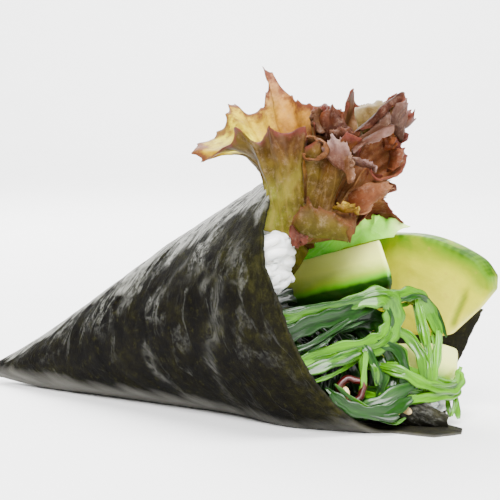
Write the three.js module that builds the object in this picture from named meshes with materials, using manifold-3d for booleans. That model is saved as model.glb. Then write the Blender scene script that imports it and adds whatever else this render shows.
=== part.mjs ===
// A temaki hand roll lying on its side: a cone of seaweed sheet filled with rice,
// cucumber, avocado, seaweed salad, a ring of chilli and two frilly salad leaves.
//
// Millimetres and degrees, +Z up. The tip of the cone points to -X, its open mouth
// to +X, and the near side, where the rice shows, is -Y. The fillings are laid out in
// roll coordinates: along the cone's axis from the mouth plane, near (towards the near
// side) and up (away from the table), all measured square to the axis.

import * as THREE from 'three';
import Module from 'manifold-3d';
import { mergeVertices } from 'three/addons/utils/BufferGeometryUtils.js';

const wasm = await Module();
wasm.setup();

// ---- Driving dimensions ----------------------------------------------------------

const HALF_ANGLE = 16; // between the cone's axis and its side
const TILT = 15.2; // of the axis as the roll lies, so that its underside is pressed flat
const MOUTH = 104; // from the apex to the mouth plane, along the axis
const APEX = [-67.01, -0.45, 0]; // where the cone's apex would stand on the table
const SHEET = 0.6; // thickness of the seaweed sheet
const GAP = 0.3; // left between neighbouring pieces

// The wrap. Its outer edge runs down the underside, one sheet thicker than what follows.
const WRAP_COLUMNS = 64;
const WRAP_ROWS = 5;
const ROW_CROWDING = 1.35; // how much closer together the rows are towards the rim
const TIP_SLANT = 7; // the tip is a blunt end of this slant length
const TIP_NOSE = 1.6; // how far the tip's cap bulges
const TIP_LIFT = 1.3; // the tip is raised off the table by this,
const TIP_REACH = 22; // fading out over this slant length
const SEAM_TURN = 161; // where the outer edge meets the rim, in degrees from the top
const SEAM_DRIFT = 42; // how far the edge wanders round the cone on its way to the tip
const SEAM_STEP = 1.5; // width of the step down to the layer below, in degrees
const LAP = 0.45; // height of that step
const CREASE = 0.22; // depth of the dents in the sheet
const SAG = { slant: 98, turn: 150, depth: 2.8, reach: 13, spread: 20 }; // a bulge underneath
const PINCH = { slant: 118, turn: 16, depth: -2.3, reach: 22, spread: 40 }; // the mouth's flat top
// Slant length of the rim, by degrees after the seam. The peaks are the sheet's corners.
const RIM = [
  [0, 127.3], [11, 129.6], [17, 127.5], [23, 120.6], [42, 117.2], [67, 115.2], [81, 118], [90, 121],
  [106, 101], [149, 97], [199, 103], [239, 106.8], [281, 110.4], [324, 112], [343, 113.7],
  [353, 115], [358.5, 117.7], [360, 127.3],
];
// The start of the sheet stands up from the underside as a small curl inside the mouth.
const CURL = {
  foot: [[-4, 6, -26.9], [7, 4, -29.4], [16.5, 1, -31.9]],
  bend: [[-4, 7, -24.5], [7, 8, -27], [17, 2.5, -30.9]],
  edge: [[-4, 4, -21.5], [8, 5.5, -24.8], [14, 3.6, -26.6], [17, 0.6, -30]],
};

// Rice.
const GRAIN = { length: 6.6, thick: 2.7, sides: [5, 4] };
const RICE_TOP = -16; // how far the packed rice stands back from the mouth plane
const RICE_BUMP = 1.1; // relief of the packed rice
const RICE_LUMPS = [
  { centre: [-5, 21, 8], radii: [6.4, 6.2, 8] },
  { centre: [-14, 17, 9], radii: [9, 9, 9] },
  { centre: [1, -8, -25.5], radii: [13.5, 6.5, 4.2] },
  { centre: [-12, -6, -19], radii: [10, 9, 7] },
];
const LUMP_SIDES = [10, 6];
const GRAIN_PATCHES = [
  { centre: [-5, 21, 8], radii: [6.4, 6.2, 8], count: 10 },
  { centre: [8, -7, -26], radii: [6, 5.5, 3.4], count: 7 },
  { centre: [RICE_TOP, -4, 9], radii: [5, 13, 10], count: 8 },
];
const SET_IN = 0.86; // how far out on its patch a grain lies
const GOLDEN_ANGLE = 2.39996; // radians
const RICE_SEED = 7;

// Cucumber batons: their two ends, by roll coordinates of the middle of the section.
const CUCUMBER_FRONT = {
  from: [-42, -1.2, 3.2], to: [9.3, 0.3, 2.9], wide: 9.2, deep: 5.8, turn: 21, bulge: 1.2,
  slope: [0.35, 1],
};
const CUCUMBER_BACK = {
  from: [-42, -3.5, -9.5], to: [14.4, -7.1, -19.9], wide: 8.2, deep: 10.8, turn: 14, bulge: 0.3,
  slope: [0, 0],
};
const BATON_SIDES = 20;
const BATON_STEPS = 4;

// Avocado slice: outline seen from the near side as [along, up], then its cut edges.
const AVOCADO = {
  skin: [[-34, 3], [-20, 8.6], [-1.6, 10.5], [10.1, 8.7], [18, 5.5], [24.8, 0], [26.7, -4.2]],
  cut: [[25.6, -6.9], [21, -9.8], [11.7, -14.2], [-34, -1]],
  pivot: -3, // the height at which its face stands as far towards the near side as this:
  face: -10,
  lean: 0.2, // how much the top of the face leans out
  thick: 6, // at the skin side
  thin: 4.2, // at the cut side
};

// Seaweed salad: a core under a heap of strands. Each strand is a path of roll points.
const SALAD_CORE = [
  { centre: [-11, 10, -13], radii: [12, 18, 13] },
  { centre: [-5, 5, -16], radii: [10.5, 11, 10] },
];
const STRANDS = [
  { wide: 2.6, thick: 1.1, path: [[-4, 24, -4], [2.3, 19, -3.9], [7.6, 12, -3.8], [11.6, 7, -3.6]] },
  { wide: 3.6, thick: 0.9, path: [[-4, 24.5, -8], [1.9, 20, -6.2], [6, 14, -5.6], [9.7, 8, -5]] },
  { wide: 1.2, thick: 0.9, path: [[-3, 24, -11], [2.2, 20, -9.6], [4.9, 16, -8], [7.4, 11.6, -6.4]] },
  { wide: 2.6, thick: 1, path: [[-3, 23, -15.4], [3.4, 18.6, -14.6], [7.2, 12.6, -13.4]] },
  { // the broad loop in front
    wide: 4.4, thick: 0.9, path: [
      [5.5, 13, -3.6], [11.6, 8.4, -3.6], [13, 6, -6], [11.5, 6.5, -10.4],
      [9.1, 10, -12.8], [3.4, 17, -12.9], [-2, 23, -13],
    ],
  },
  { // the outer one, over the avocado
    wide: 3, thick: 1, path: [
      [-2, 10, -6], [7, 7, -4.2], [12.6, 2.5, -4.2], [14, -2.4, -4.6],
      [14.6, -5, -8.4], [15.4, -5.6, -13.6],
    ],
  },
  { wide: 1.4, thick: 1, path: [[15.4, -5.4, -12.6], [15.9, -1.6, -17], [16, 1, -21], [15.2, 2, -24]] },
  {
    wide: 1.3, thick: 1, path: [
      [13.8, -2.2, -5], [14.6, -1.4, -13], [15.8, 1.6, -18], [15.3, 2.6, -23.8],
    ],
  },
  {
    wide: 1.8, thick: 1.1, path: [
      [11.3, 6.5, -9.6], [13.4, 3.6, -13], [15.2, 3.4, -18], [14.2, 3.8, -24],
    ],
  },
  { // the low loop under the back cucumber
    wide: 2.4, thick: 1.2, path: [
      [4, 8, -16], [11, 7.6, -18.6], [14.2, 5.2, -21.6], [16.2, 1.6, -23.9],
      [16.2, -5, -24.9], [15.2, -9.6, -23.6], [14.6, -11.4, -22],
    ],
  },
  {
    wide: 2, thick: 1.2, path: [
      [2, 9, -21], [7, 9, -23.4], [11.4, 7, -24.8],
      [15.4, 1.6, -25.6], [15.9, -5, -26], [14.4, -9.2, -24.6],
    ],
  },
  { wide: 1, thick: 0.9, path: [[15.6, -5.6, -25.4], [15.6, -5.4, -27.6], [14.8, -4, -30.2]] },
  {
    wide: 2.2, thick: 1.1, path: [
      [9.3, 9.4, -12.4], [12, 6.4, -15], [12.4, 6.4, -19], [11.4, 7.4, -24.4],
    ],
  },
  { wide: 2.2, thick: 1.2, path: [[2, 9, -11.4], [8.6, 7.6, -17], [7, 9.2, -23.4]] },
  { wide: 2, thick: 1.2, path: [[2, 7, -11.6], [8.2, 6.8, -12.6], [9.6, 5.4, -18], [8.6, 8, -23.8]] },
  { wide: 2, thick: 1, path: [[8, 12, -12.6], [9.2, 11.6, -16.6], [9, 11, -20.6]] },
  { wide: 1, thick: 0.9, path: [[9.1, 11.8, -16], [9.4, 11.6, -20.4], [9, 11.8, -24]] },
  { wide: 3.2, thick: 1, path: [[3, 14.6, -25.4], [8, 12, -24.4], [13.6, 5.8, -22.2]] },
  {
    wide: 2.8, thick: 1.2, path: [
      [2.6, 19.4, -20.4], [5.6, 17.4, -24.2], [10, 13.6, -26.2], [12.8, 6.4, -24.9],
    ],
  },
  { wide: 1.6, thick: 1, path: [[7, 16, -25.2], [10.4, 13.6, -27.6], [12, 11.4, -27.6]] },
];
const STRAND_SIDES = 5;
const STRAND_STEP = 3.6; // length of strand between two of its rings
// Plain strands laid over the core by rule, for the parts of the heap between those above.
const FILL_STRANDS = { count: 4, wide: 1.9, thick: 1.1, seed: 11 };
const SESAME = [
  { centre: [9.6, 8.6, -27], turn: 20 },
  { centre: [10.8, 6.4, -26.8], turn: -35 },
];
const SESAME_RADII = [1.55, 0.5, 0.95];

// Chilli ring, a slice across a small dried pepper, with one seed left in it.
const CHILLI = {
  centre: [4.5, 12.7, -20.5],
  facing: [0.56, 0.8, 0.1],
  radius: 2.5,
  wall: 0.8,
  deep: 1.1, // times the thickness of the wall
  seedAt: [-1.25, -0.3, 0.1], // from its centre, in the ring's own axes
  seedRadii: [0.8, 1.5, 0.5],
};

// Frilly leaves: lobes that spread from a base line over a middle line to the margin.
const LEAF_THICK = 0.57;
const LETTUCE_LOBES = [
  { // the long lobe at the back, with its high spike
    base: [[-6, 17, 14.8], [-5.2, 11, 13.4], [-3.7, 8, 12.6], [-1.8, 4, 12.4]],
    middle: [
      [1.4, 15, 34.4], [-1.5, 11, 31.4], [-6, 7, 29], [-6.2, 3, 31], [-2.7, 3, 28.5], [1.8, 4, 25.9],
    ],
    margin: [
      [-21.6, 11, 32.7], [-24.2, 8, 36.4], [-18.4, 5, 39.4], [-17.2, 2, 44.1], [-14.8, 0, 40.9],
      [-10.8, -1, 42.2], [-10.4, -3, 50.1], [-6.5, -2, 44], [-1.2, 0, 39.9], [7.1, 3, 37.2],
    ],
    cells: [18, 4], waves: 6, frill: 0.9,
  },
  { // its near side, folded up in front
    base: [[-3, 21.5, 14.4], [-1.6, 20, 13.3], [1.5, 19.5, 12], [3.9, 18.5, 11.8]],
    middle: [[1.4, 15, 34.4], [0.6, 19, 27.4], [4.6, 20, 24.4], [6.4, 18, 23.3]],
    margin: [
      [-21.6, 11, 32.7], [-9.5, 17, 33.4], [-6.1, 19, 36.3], [-2.7, 17, 32.5],
      [2.4, 20, 34.4], [4.4, 18, 32.4], [10.5, 19, 32.1], [7.3, 16, 27.7],
    ],
    cells: [12, 3], waves: 4, frill: 0.6,
  },
  { // the curled lobe at the upper right
    base: [[-2.7, 9.5, 12.5], [0.3, 6, 11.8], [3.2, 2, 10.5]],
    middle: [[4.6, 9, 23.9], [4.9, 4, 24.5], [6.3, -1, 24.6]],
    margin: [
      [8.2, 13, 33], [5.5, 5, 37.2], [6.5, 0, 36.3], [11.4, 4, 35.5], [12.1, 0, 39.5],
      [10.5, -4, 36.4], [19.7, 2, 34.7], [20.2, -4, 35.8],
    ],
    cells: [12, 4], waves: 6, frill: 1.2,
  },
  { // the lobe at its right end
    base: [[-0.1, 6, 11.9], [1.3, 3, 11.6], [2.9, 0, 11.7]],
    middle: [[10.8, 6, 23.1], [10.4, 2, 23.7], [9.6, -1, 22.3]],
    margin: [
      [20.6, 5, 33.1], [20.8, -3, 35.7], [23.7, 1, 31.8],
      [26.7, 4, 30.3], [20.5, -3, 28.2], [20.7, 2, 25.8],
    ],
    cells: [10, 3], waves: 4, frill: 1,
  },
  { // the pale fold in the middle
    base: [[2.9, 17, 11.9], [5, 15.5, 11.3], [7, 13.5, 10.8]],
    middle: [[7.9, 17, 22.2], [10.3, 16, 21.6], [11.3, 13, 20.8]],
    margin: [
      [7.3, 18, 28.2], [12.3, 17, 29.3], [11.6, 14, 27], [17.1, 16, 29.1],
      [18.1, 12, 27.1], [15, 10, 23.9], [11.4, 10, 21.9],
    ],
    cells: [10, 3], waves: 3, frill: 0.8,
  },
  { // the loops at the right
    base: [[4.7, 11.5, 12], [6.3, 9, 11.9], [7.5, 6, 12.7]],
    middle: [[12, 9, 22.1], [12.8, 7, 20.6], [13.1, 5, 19.2]],
    margin: [
      [19.3, 9, 29.4], [20.7, 7, 27.6], [21.9, 4, 25.5], [21, 1, 22.6],
      [21.2, 6, 20], [19.1, 9, 19.6], [18.6, 11, 22.3],
    ],
    cells: [10, 3], waves: 4, frill: 0.9,
  },
  { // the lobe below them
    base: [[5.8, 13.5, 11], [7.8, 11, 10.8], [8.5, 7, 11.9]],
    middle: [[10.9, 11, 17.8], [11.9, 9, 16.4], [10.5, 5, 15.4]],
    margin: [
      [16.9, 10, 21.8], [16.4, 5, 20], [18.6, 3, 17.3], [17.5, 7, 15.5],
      [13.6, 4, 15.5], [12.1, 7, 12.9], [9.5, 9, 11.6],
    ],
    cells: [10, 3], waves: 4, frill: 0.8,
  },
  { // the end of the leaf that droops behind the green one
    base: [[2.4, 3, 11.2], [3.2, 0, 10.8]],
    middle: [[9, 2, 17.4], [8, -3, 14.6]],
    margin: [[14.6, 2.5, 15.8], [12.6, -1.5, 14.4], [12.7, -4, 12.2], [12.4, -6.6, 10.4]],
    cells: [6, 2], waves: 2, frill: 0.3,
  },
  { // the low fold over the front cucumber
    base: [[-0.1, 11, 18.3], [3.2, 9, 16.8], [6.6, 5, 16.2], [5.4, 1, 14.6]],
    middle: [[4.3, 20, 15.9], [9.8, 20, 14.4], [12.9, 15, 13.8], [11.5, 8, 13.9]],
    margin: [
      [1.2, 18, 9.3], [3.6, 17, 10.2], [7.3, 15, 10.8], [9.6, 12, 10], [9.3, 8, 12.2], [8, 3, 14.4],
    ],
    cells: [12, 3], waves: 3, frill: 0.6,
  },
];
const LETTUCE_STEM = { from: [-22, 9, 4], bend: [-8, 12, 6], to: [0, 13, 9.5], wide: 8, thick: 2.4 };
const LETTUCE_CROWN = {
  path: [[-4.5, 20, 12.5], [-1.5, 15, 11.4], [2.3, 10, 10.6], [5.8, 5, 10.4]], wide: 2.4, deep: 8,
};
const GREEN_LEAF = {
  base: [[-9.3, 0.5, 7.6], [-2.5, 0.2, 7.9], [2.4, -1, 8.3], [7, -3, 8.5], [10.4, -5, 8.4]],
  middle: [[-7.1, 1, 9.7], [-0.5, 1.5, 10.4], [5, 0.5, 11.6], [8.6, -2, 11.3], [11.2, -5, 9.5]],
  margin: [
    [-4.3, 3, 11.4], [1, 3.5, 12.8], [5.8, 2.5, 14.5], [7.6, -0.5, 14.4],
    [8.9, -2, 13.6], [10.6, -4, 12.6], [13.4, -6.8, 9.8],
  ],
  cells: [12, 3], waves: 4, frill: 0.8,
};

// ---- Solids from bent three.js shapes --------------------------------------------

const radians = THREE.MathUtils.degToRad;

/** A point in roll coordinates. */
const at = ([along, near, up]) => new THREE.Vector3(along, -near, up);

/** Random numbers from 0 to 1 that are the same on every run. */
function seededRandom(seed) {
  let state = seed;
  return () => {
    state = (state * 1664525 + 1013904223) % 4294967296;
    return state / 4294967296;
  };
}

/** An indexed geometry as a solid, turned the right side out. */
function solidFrom(positions, triangles) {
  let volume = 0;
  const corner = (k) => new THREE.Vector3().fromArray(positions, 3 * triangles[k]);
  for (let k = 0; k < triangles.length; k += 3) {
    volume += corner(k).dot(corner(k + 1).cross(corner(k + 2)));
  }
  const triVerts = new Uint32Array(triangles);
  if (volume < 0) triVerts.reverse();
  const vertProperties = new Float32Array(positions);
  return new wasm.Manifold(new wasm.Mesh({ numProp: 3, vertProperties, triVerts }));
}

/** A closed three.js geometry as a solid, each of its points moved by a rule. */
function mould(geometry, rule) {
  geometry.deleteAttribute('normal');
  geometry.deleteAttribute('uv');
  const merged = mergeVertices(geometry, 1e-4);
  const points = merged.getAttribute('position');
  const moved = [];
  for (let k = 0; k < points.count; k += 1) {
    const point = new THREE.Vector3().fromBufferAttribute(points, k);
    moved.push(...rule(point).toArray());
  }
  return solidFrom(moved, Array.from(merged.index.array));
}

/** The largest body of a solid; cut-off scraps are dropped. */
function largestBody(solid) {
  const bodies = solid.decompose();
  return bodies.reduce((best, body) => (body.volume() > best.volume() ? body : best));
}

/** Several solids joined into one. */
const join = (solids) => solids.reduce((whole, solid) => whole.add(solid));

/** A solid less all of the cutters. */
const carve = (solid, cutters) => cutters.reduce((left, cutter) => left.subtract(cutter), solid);

/** A stretched ball, optionally turned. */
function ellipsoid(centre, radii, sides, rotation = new THREE.Euler()) {
  const ball = new THREE.SphereGeometry(1, sides[0], sides[1]);
  const middle = at(centre);
  const stretch = new THREE.Vector3(...radii);
  return mould(ball, (point) => point.multiply(stretch).applyEuler(rotation).add(middle));
}

const spline = (points) => new THREE.CatmullRomCurve3(points.map(at), false, 'catmullrom', 0.5);

/** Outline of a rounded bar at an angle round it, as [across, deep]. */
function barSection(angle, wide, deep, squareness) {
  const rounded = (value) => Math.sign(value) * Math.abs(value) ** squareness;
  return [0.5 * wide * rounded(Math.sin(angle)), 0.5 * deep * rounded(Math.cos(angle))];
}

/**
 * A closed bar swept along a curve. The section's deep side faces as said, and is given by
 * outline(angle, share of the length); ends may be cut at a slope; grow inflates it all.
 */
function sweep(curve, facing, outline, { sides, steps, slope = [0, 0], grow = 0 }) {
  const rod = new THREE.CylinderGeometry(1, 1, 1, sides, steps);
  return mould(rod, (point) => {
    const share = point.y + 0.5;
    const angle = Math.atan2(point.x, point.z);
    const spread = Math.hypot(point.x, point.z);
    const tangent = curve.getTangent(share);
    const across = new THREE.Vector3().crossVectors(tangent, facing(share)).normalize();
    const deep = new THREE.Vector3().crossVectors(across, tangent);
    const [wideways, deepways] = outline(angle, share).map((size) => size * spread);
    const swell = spread * grow;
    const size = Math.hypot(wideways, deepways) || 1;
    const end = Math.abs(point.y) > 0.499 ? Math.sign(point.y) * grow : 0;
    return curve.getPoint(share)
      .addScaledVector(across, wideways * (1 + swell / size))
      .addScaledVector(deep, deepways * (1 + swell / size))
      .addScaledVector(tangent, end + (share > 0.9 ? slope[0] * wideways + slope[1] * deepways : 0));
  });
}

/**
 * A thin sheet over the unit square, point(across, out) being its middle surface. Both
 * faces use the same triangles. Its margin, at out = 1, is half as thick as its base.
 */
function sheet(cells, point, thickness, grow = 0) {
  const grid = new THREE.PlaneGeometry(1, 1, cells[0], cells[1]);
  const count = grid.getAttribute('position').count;
  const faces = { front: [], back: [] };
  for (let k = 0; k < count; k += 1) {
    const across = grid.getAttribute('uv').getX(k);
    const out = grid.getAttribute('uv').getY(k);
    const step = 1e-3;
    const before = [Math.max(across - step, 0), Math.max(out - step, 0)];
    const after = [Math.min(across + step, 1), Math.min(out + step, 1)];
    const acrossWay = point(after[0], out).sub(point(before[0], out)).normalize();
    const outWay = point(across, after[1]).sub(point(across, before[1])).normalize();
    const normal = new THREE.Vector3().crossVectors(acrossWay, outWay).normalize();
    const middle = point(across, out)
      .addScaledVector(acrossWay, grow * (Number(across > 0.999) - Number(across < 0.001)))
      .addScaledVector(outWay, grow * (Number(out > 0.999) - Number(out < 0.001)));
    const half = 0.5 * thickness * (1 - 0.5 * out) + grow;
    faces.front.push(...middle.clone().addScaledVector(normal, half).toArray());
    faces.back.push(...middle.clone().addScaledVector(normal, -half).toArray());
  }
  const front = Array.from(grid.index.array);
  const back = front.map((index) => index + count).reverse();
  const rim = [];
  const wall = (from, to) => rim.push(from, from + count, to, to, from + count, to + count);
  const [columns, rows] = cells;
  const row = columns + 1;
  for (let k = 0; k < columns; k += 1) {
    wall(k + 1, k);
    wall(rows * row + k, rows * row + k + 1);
  }
  for (let k = 0; k < rows; k += 1) {
    wall(k * row, (k + 1) * row);
    wall((k + 1) * row + columns, k * row + columns);
  }
  return solidFrom([...faces.front, ...faces.back], [...front, ...back, ...rim]);
}

// ---- The wrap and the space inside it ---------------------------------------------

/** Height above the table of a point in roll coordinates. */
function heightOf(point) {
  return (MOUTH + point.x) * Math.sin(radians(TILT)) + point.z * Math.cos(radians(TILT));
}

/** A point lifted straight up, if need be, to a height above the table. */
function settle(point, height) {
  const lift = Math.max(height - heightOf(point), 0);
  point.x += lift * Math.sin(radians(TILT));
  point.z += lift * Math.cos(radians(TILT));
  return point;
}

/** A point of the cone, by slant length, turn from the top and depth under the wall. */
function onCone(slant, turn, depth) {
  const radius = slant * Math.sin(radians(HALF_ANGLE)) - depth * Math.cos(radians(HALF_ANGLE));
  const along = slant * Math.cos(radians(HALF_ANGLE)) + depth * Math.sin(radians(HALF_ANGLE));
  const up = radius * Math.cos(radians(turn)) + tipLift(slant);
  return at([along - MOUTH, radius * Math.sin(radians(turn)), up]);
}

/** Slant length of the rim at a turn after the seam. */
function rimSlant(turn) {
  const next = RIM.findIndex(([limit]) => limit >= turn - 1e-9) || 1;
  const [turnA, slantA] = RIM[next - 1];
  const [turnB, slantB] = RIM[next];
  return THREE.MathUtils.mapLinear(turn, turnA, turnB, slantA, slantB);
}

/** How far one broad dent moves the sheet outwards, or inwards if its depth is negative. */
function broadDent(dent, slant, turn) {
  const beside = THREE.MathUtils.euclideanModulo(turn - dent.turn + 180, 360) - 180;
  const distance = Math.hypot((slant - dent.slant) / dent.reach, beside / dent.spread);
  return dent.depth * Math.exp(-distance * distance);
}

/** How far the sheet is dented outwards or inwards. */
function dent(slant, turn) {
  const round = radians(turn);
  const wave = Math.sin(3 * round + slant / 22) * Math.sin(slant / 14 + 2 * round);
  return CREASE * wave + broadDent(SAG, slant, turn) + broadDent(PINCH, slant, turn);
}

/** How far the cone is raised at a slant length, near its tip. */
function tipLift(slant) {
  return TIP_LIFT * Math.max(1 - Math.max(slant - TIP_SLANT, 0) / TIP_REACH, 0) ** 2;
}

/** The seaweed cone, without its curl; grow inflates it both ways. */
function wrapShell(grow = 0) {
  const last = 2 * WRAP_ROWS + 1;
  const profile = [];
  for (let row = 0; row <= last; row += 1) {
    profile.push(new THREE.Vector2(row === 0 || row === last ? 0 : 1, row));
  }
  const lathe = new THREE.LatheGeometry(profile, WRAP_COLUMNS);
  const tip = TIP_SLANT * Math.cos(radians(HALF_ANGLE)) - MOUTH - TIP_NOSE;
  return mould(lathe, (point) => {
    const row = Math.round(point.y);
    if (row === 0) return at([tip - grow, 0, TIP_LIFT]);
    if (row === last) return at([tip + 5 * SHEET + TIP_NOSE + grow, 0, TIP_LIFT]);
    const outside = row <= WRAP_ROWS;
    const column = Math.round((Math.atan2(point.x, point.z) / (2 * Math.PI)) * WRAP_COLUMNS);
    const place = (column + WRAP_COLUMNS) % WRAP_COLUMNS;
    const afterSeam = (place / (WRAP_COLUMNS - 1)) * (360 - SEAM_STEP);
    const step = ((outside ? row : last - row) - 1) / (WRAP_ROWS - 1);
    const share = 1 - (1 - step) ** ROW_CROWDING;
    const start = outside ? TIP_SLANT : TIP_SLANT + 4 * SHEET;
    const slant = THREE.MathUtils.lerp(start, rimSlant(afterSeam) + grow, share);
    const turn = SEAM_TURN + SEAM_STEP + afterSeam + SEAM_DRIFT * (1 - share);
    const lap = LAP * (afterSeam / 360) * share;
    const depth = outside ? -lap - grow : SHEET + grow;
    return settle(onCone(slant, turn, depth - dent(slant, turn)), outside ? -grow : SHEET + grow);
  });
}

/** Surface over three lines, each a list of roll points: start, bend and end. */
function threeLineSurface(start, bend, end) {
  const lines = [spline(start), spline(bend), spline(end)];
  return (across, out) => {
    const [a, b, c] = lines.map((line) => line.getPoint(across));
    return a.multiplyScalar((1 - out) ** 2)
      .addScaledVector(b, 2 * out * (1 - out))
      .addScaledVector(c, out ** 2);
  };
}

/** The curl of sheet inside the mouth. */
function wrapCurl(grow = 0) {
  return sheet([10, 4], threeLineSurface(CURL.foot, CURL.bend, CURL.edge), 1.4 * SHEET, grow);
}

/** All the space under the wall up to a plane across the axis, with a bumpy front. */
function plug(front, clearance, bump) {
  const columns = 28;
  const walls = 4;
  const rings = 4;
  const last = walls + rings;
  const profile = [];
  for (let row = 0; row <= last; row += 1) {
    profile.push(new THREE.Vector2(row === 0 || row === last ? 0 : 1, row));
  }
  const tip = TIP_SLANT + 8 * SHEET;
  const rim = (front + MOUTH) / Math.cos(radians(HALF_ANGLE));
  return mould(new THREE.LatheGeometry(profile, columns), (point) => {
    const row = Math.round(point.y);
    const turn = THREE.MathUtils.radToDeg(Math.atan2(point.x, point.z));
    if (row === 0) return onCone(tip - 1, turn, (tip - 1) * Math.tan(radians(HALF_ANGLE)));
    const slant = row <= walls ? THREE.MathUtils.lerp(tip, rim, (row - 1) / (walls - 1)) : rim;
    const edge = settle(onCone(slant, turn, clearance), clearance);
    if (row <= walls) return edge;
    const inward = (row - walls) / rings;
    const swell = bump * Math.sin(4 * radians(turn) + 5 * inward) * Math.sin(7 * inward);
    return at([edge.x + 3 * bump * inward + swell, -edge.y * (1 - inward), edge.z * (1 - inward)]);
  });
}

// ---- The fillings. Each takes how much to inflate it, to cut its neighbours. -------

/** A baton of cucumber with one rounded, skin-covered long side. */
function baton({ from, to, wide, deep, turn, slope, bulge }, grow = 0) {
  const facing = at([0, Math.cos(radians(turn)), Math.sin(radians(turn))]);
  const outline = (angle) => {
    const [across, deepways] = barSection(angle, wide, deep, 0.3);
    const skinSide = Math.max(across / wide, 0);
    const round = 1 - (2 * deepways / deep) ** 2;
    return [across + bulge * skinSide * 2 * Math.max(round, 0), deepways];
  };
  const line = new THREE.LineCurve3(at(from), at(to));
  return sweep(line, () => facing, outline, { sides: BATON_SIDES, steps: BATON_STEPS, slope, grow });
}

/** The slice of avocado, thinner towards its cut edge. */
function avocado(grow = 0) {
  const { skin, cut, pivot, face, lean, thick, thin } = AVOCADO;
  const outline = new THREE.Shape();
  outline.moveTo(...skin[0]);
  outline.splineThru(skin.slice(1).map(([along, up]) => new THREE.Vector2(along, up)));
  cut.forEach(([along, up]) => outline.lineTo(along, up));
  const soft = 0.9;
  const bevel = { bevelEnabled: true, bevelThickness: soft, bevelSize: soft, bevelOffset: -soft };
  const slab = new THREE.ExtrudeGeometry(outline, {
    depth: 2 * soft, steps: 1, curveSegments: 4, bevelSegments: 1, ...bevel,
  });
  const top = skin[2][1];
  const bottom = cut[2][1];
  return mould(slab, (point) => {
    const share = (point.y - bottom) / (top - bottom);
    const depth = (point.z / (4 * soft) - 0.25) * THREE.MathUtils.lerp(thin, thick, share);
    const swell = 1 + grow / 8;
    const near = face + lean * (point.y - pivot) - 0.5 * thick + depth * (1 + grow / 2);
    return at([(point.x + 2) * swell - 2, near, (point.y + 2) * (1 + grow / 5) - 2]);
  });
}

/** The chilli ring, with a seed inside. */
function chilli(grow = 0) {
  const { centre, facing, radius, wall, deep, seedAt, seedRadii } = CHILLI;
  const turned = new THREE.Quaternion().setFromUnitVectors(at([0, 0, 1]), at(facing).normalize());
  const middle = at(centre);
  const ring = mould(new THREE.TorusGeometry(radius, wall + grow, 6, 18), (point) => {
    point.z *= deep;
    return point.applyQuaternion(turned).add(middle);
  });
  const stretch = new THREE.Vector3(...seedRadii).addScalar(grow);
  const place = new THREE.Vector3(...seedAt);
  const seed = mould(new THREE.SphereGeometry(1, 8, 6), (point) => (
    point.multiply(stretch).add(place).applyQuaternion(turned).add(middle)
  ));
  return ring.add(seed);
}

/** Surface of a frilly lobe: three lines, with waves that grow towards the margin. */
function lobeSurface({ base, middle, margin, waves, frill }) {
  const plain = threeLineSurface(base, middle, margin);
  return (across, out) => {
    const point = plain(across, out);
    const wave = Math.sin(2 * Math.PI * waves * across + 2.4 * out);
    const flutter = Math.sin(2 * Math.PI * (waves + 2) * across + 1);
    point.y += frill * out ** 1.6 * wave;
    point.x += 0.35 * frill * out ** 2 * flutter;
    return point;
  };
}

/** The red lettuce: lobes on a short stem. */
function lettuce(grow = 0) {
  const { from, bend, to, wide, thick } = LETTUCE_STEM;
  const stem = sweep(
    new THREE.QuadraticBezierCurve3(at(from), at(bend), at(to)),
    () => at([0.3, 1, 0.2]),
    (angle) => barSection(angle, wide, thick, 0.9),
    { sides: 8, steps: 3, grow },
  );
  const crown = sweep(
    spline(LETTUCE_CROWN.path),
    () => at([0.56, 0.82, 0]),
    (angle) => barSection(angle, LETTUCE_CROWN.wide, LETTUCE_CROWN.deep, 0.6),
    { sides: 8, steps: 4, grow },
  );
  const lobes = LETTUCE_LOBES.map((lobe) => sheet(lobe.cells, lobeSurface(lobe), LEAF_THICK, grow));
  return join([stem, crown, ...lobes]);
}

/** The small green leaf behind the front cucumber. */
function greenLeaf(grow = 0) {
  return sheet(GREEN_LEAF.cells, lobeSurface(GREEN_LEAF), 2 * LEAF_THICK, grow);
}

/** One strand of seaweed, flat and thinned at its ends. */
function strand({ wide, thick, path }, grow) {
  const curve = spline(path);
  const steps = Math.max(Math.round(curve.getLength() / STRAND_STEP), 3);
  const outline = (angle, share) => {
    const taper = 0.55 + 0.45 * Math.min(1, 6 * share, 6 * (1 - share));
    return barSection(angle, wide * taper, thick * taper, 1);
  };
  return sweep(curve, () => at([0.75, 1, 0.1]), outline, { sides: STRAND_SIDES, steps, grow });
}

/** Strands over the core, one beside the other, each a shallow arch with a random lean. */
function fillStrands(grow) {
  const random = seededRandom(FILL_STRANDS.seed);
  const paths = [];
  for (let k = 0; k < FILL_STRANDS.count; k += 1) {
    const share = (k + 0.5) / FILL_STRANDS.count;
    const near = THREE.MathUtils.lerp(21, 3, share) + random();
    const reach = THREE.MathUtils.lerp(-1, 7, share) + random();
    paths.push([
      [reach - 4, near + 2 * random(), -6 - 3 * random()],
      [reach, near, -13],
      [reach - 1, near + 2 - 4 * random(), -18 - 3 * random()],
    ]);
  }
  return paths.map((path) => strand({ ...FILL_STRANDS, path }, grow));
}

/** The seaweed salad: core, strands and sesame seeds. */
function salad(grow = 0) {
  const core = SALAD_CORE.map(({ centre, radii }) => (
    ellipsoid(centre, radii.map((radius) => radius + grow), [12, 8])
  ));
  const strands = STRANDS.map((shape) => strand(shape, grow));
  const seeds = SESAME.map(({ centre, turn }) => (
    ellipsoid(
      centre,
      SESAME_RADII.map((radius) => radius + grow),
      [6, 5],
      new THREE.Euler(0, radians(turn), 0),
    )
  ));
  return join([...core, ...strands, ...fillStrands(grow), ...seeds]);
}

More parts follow.
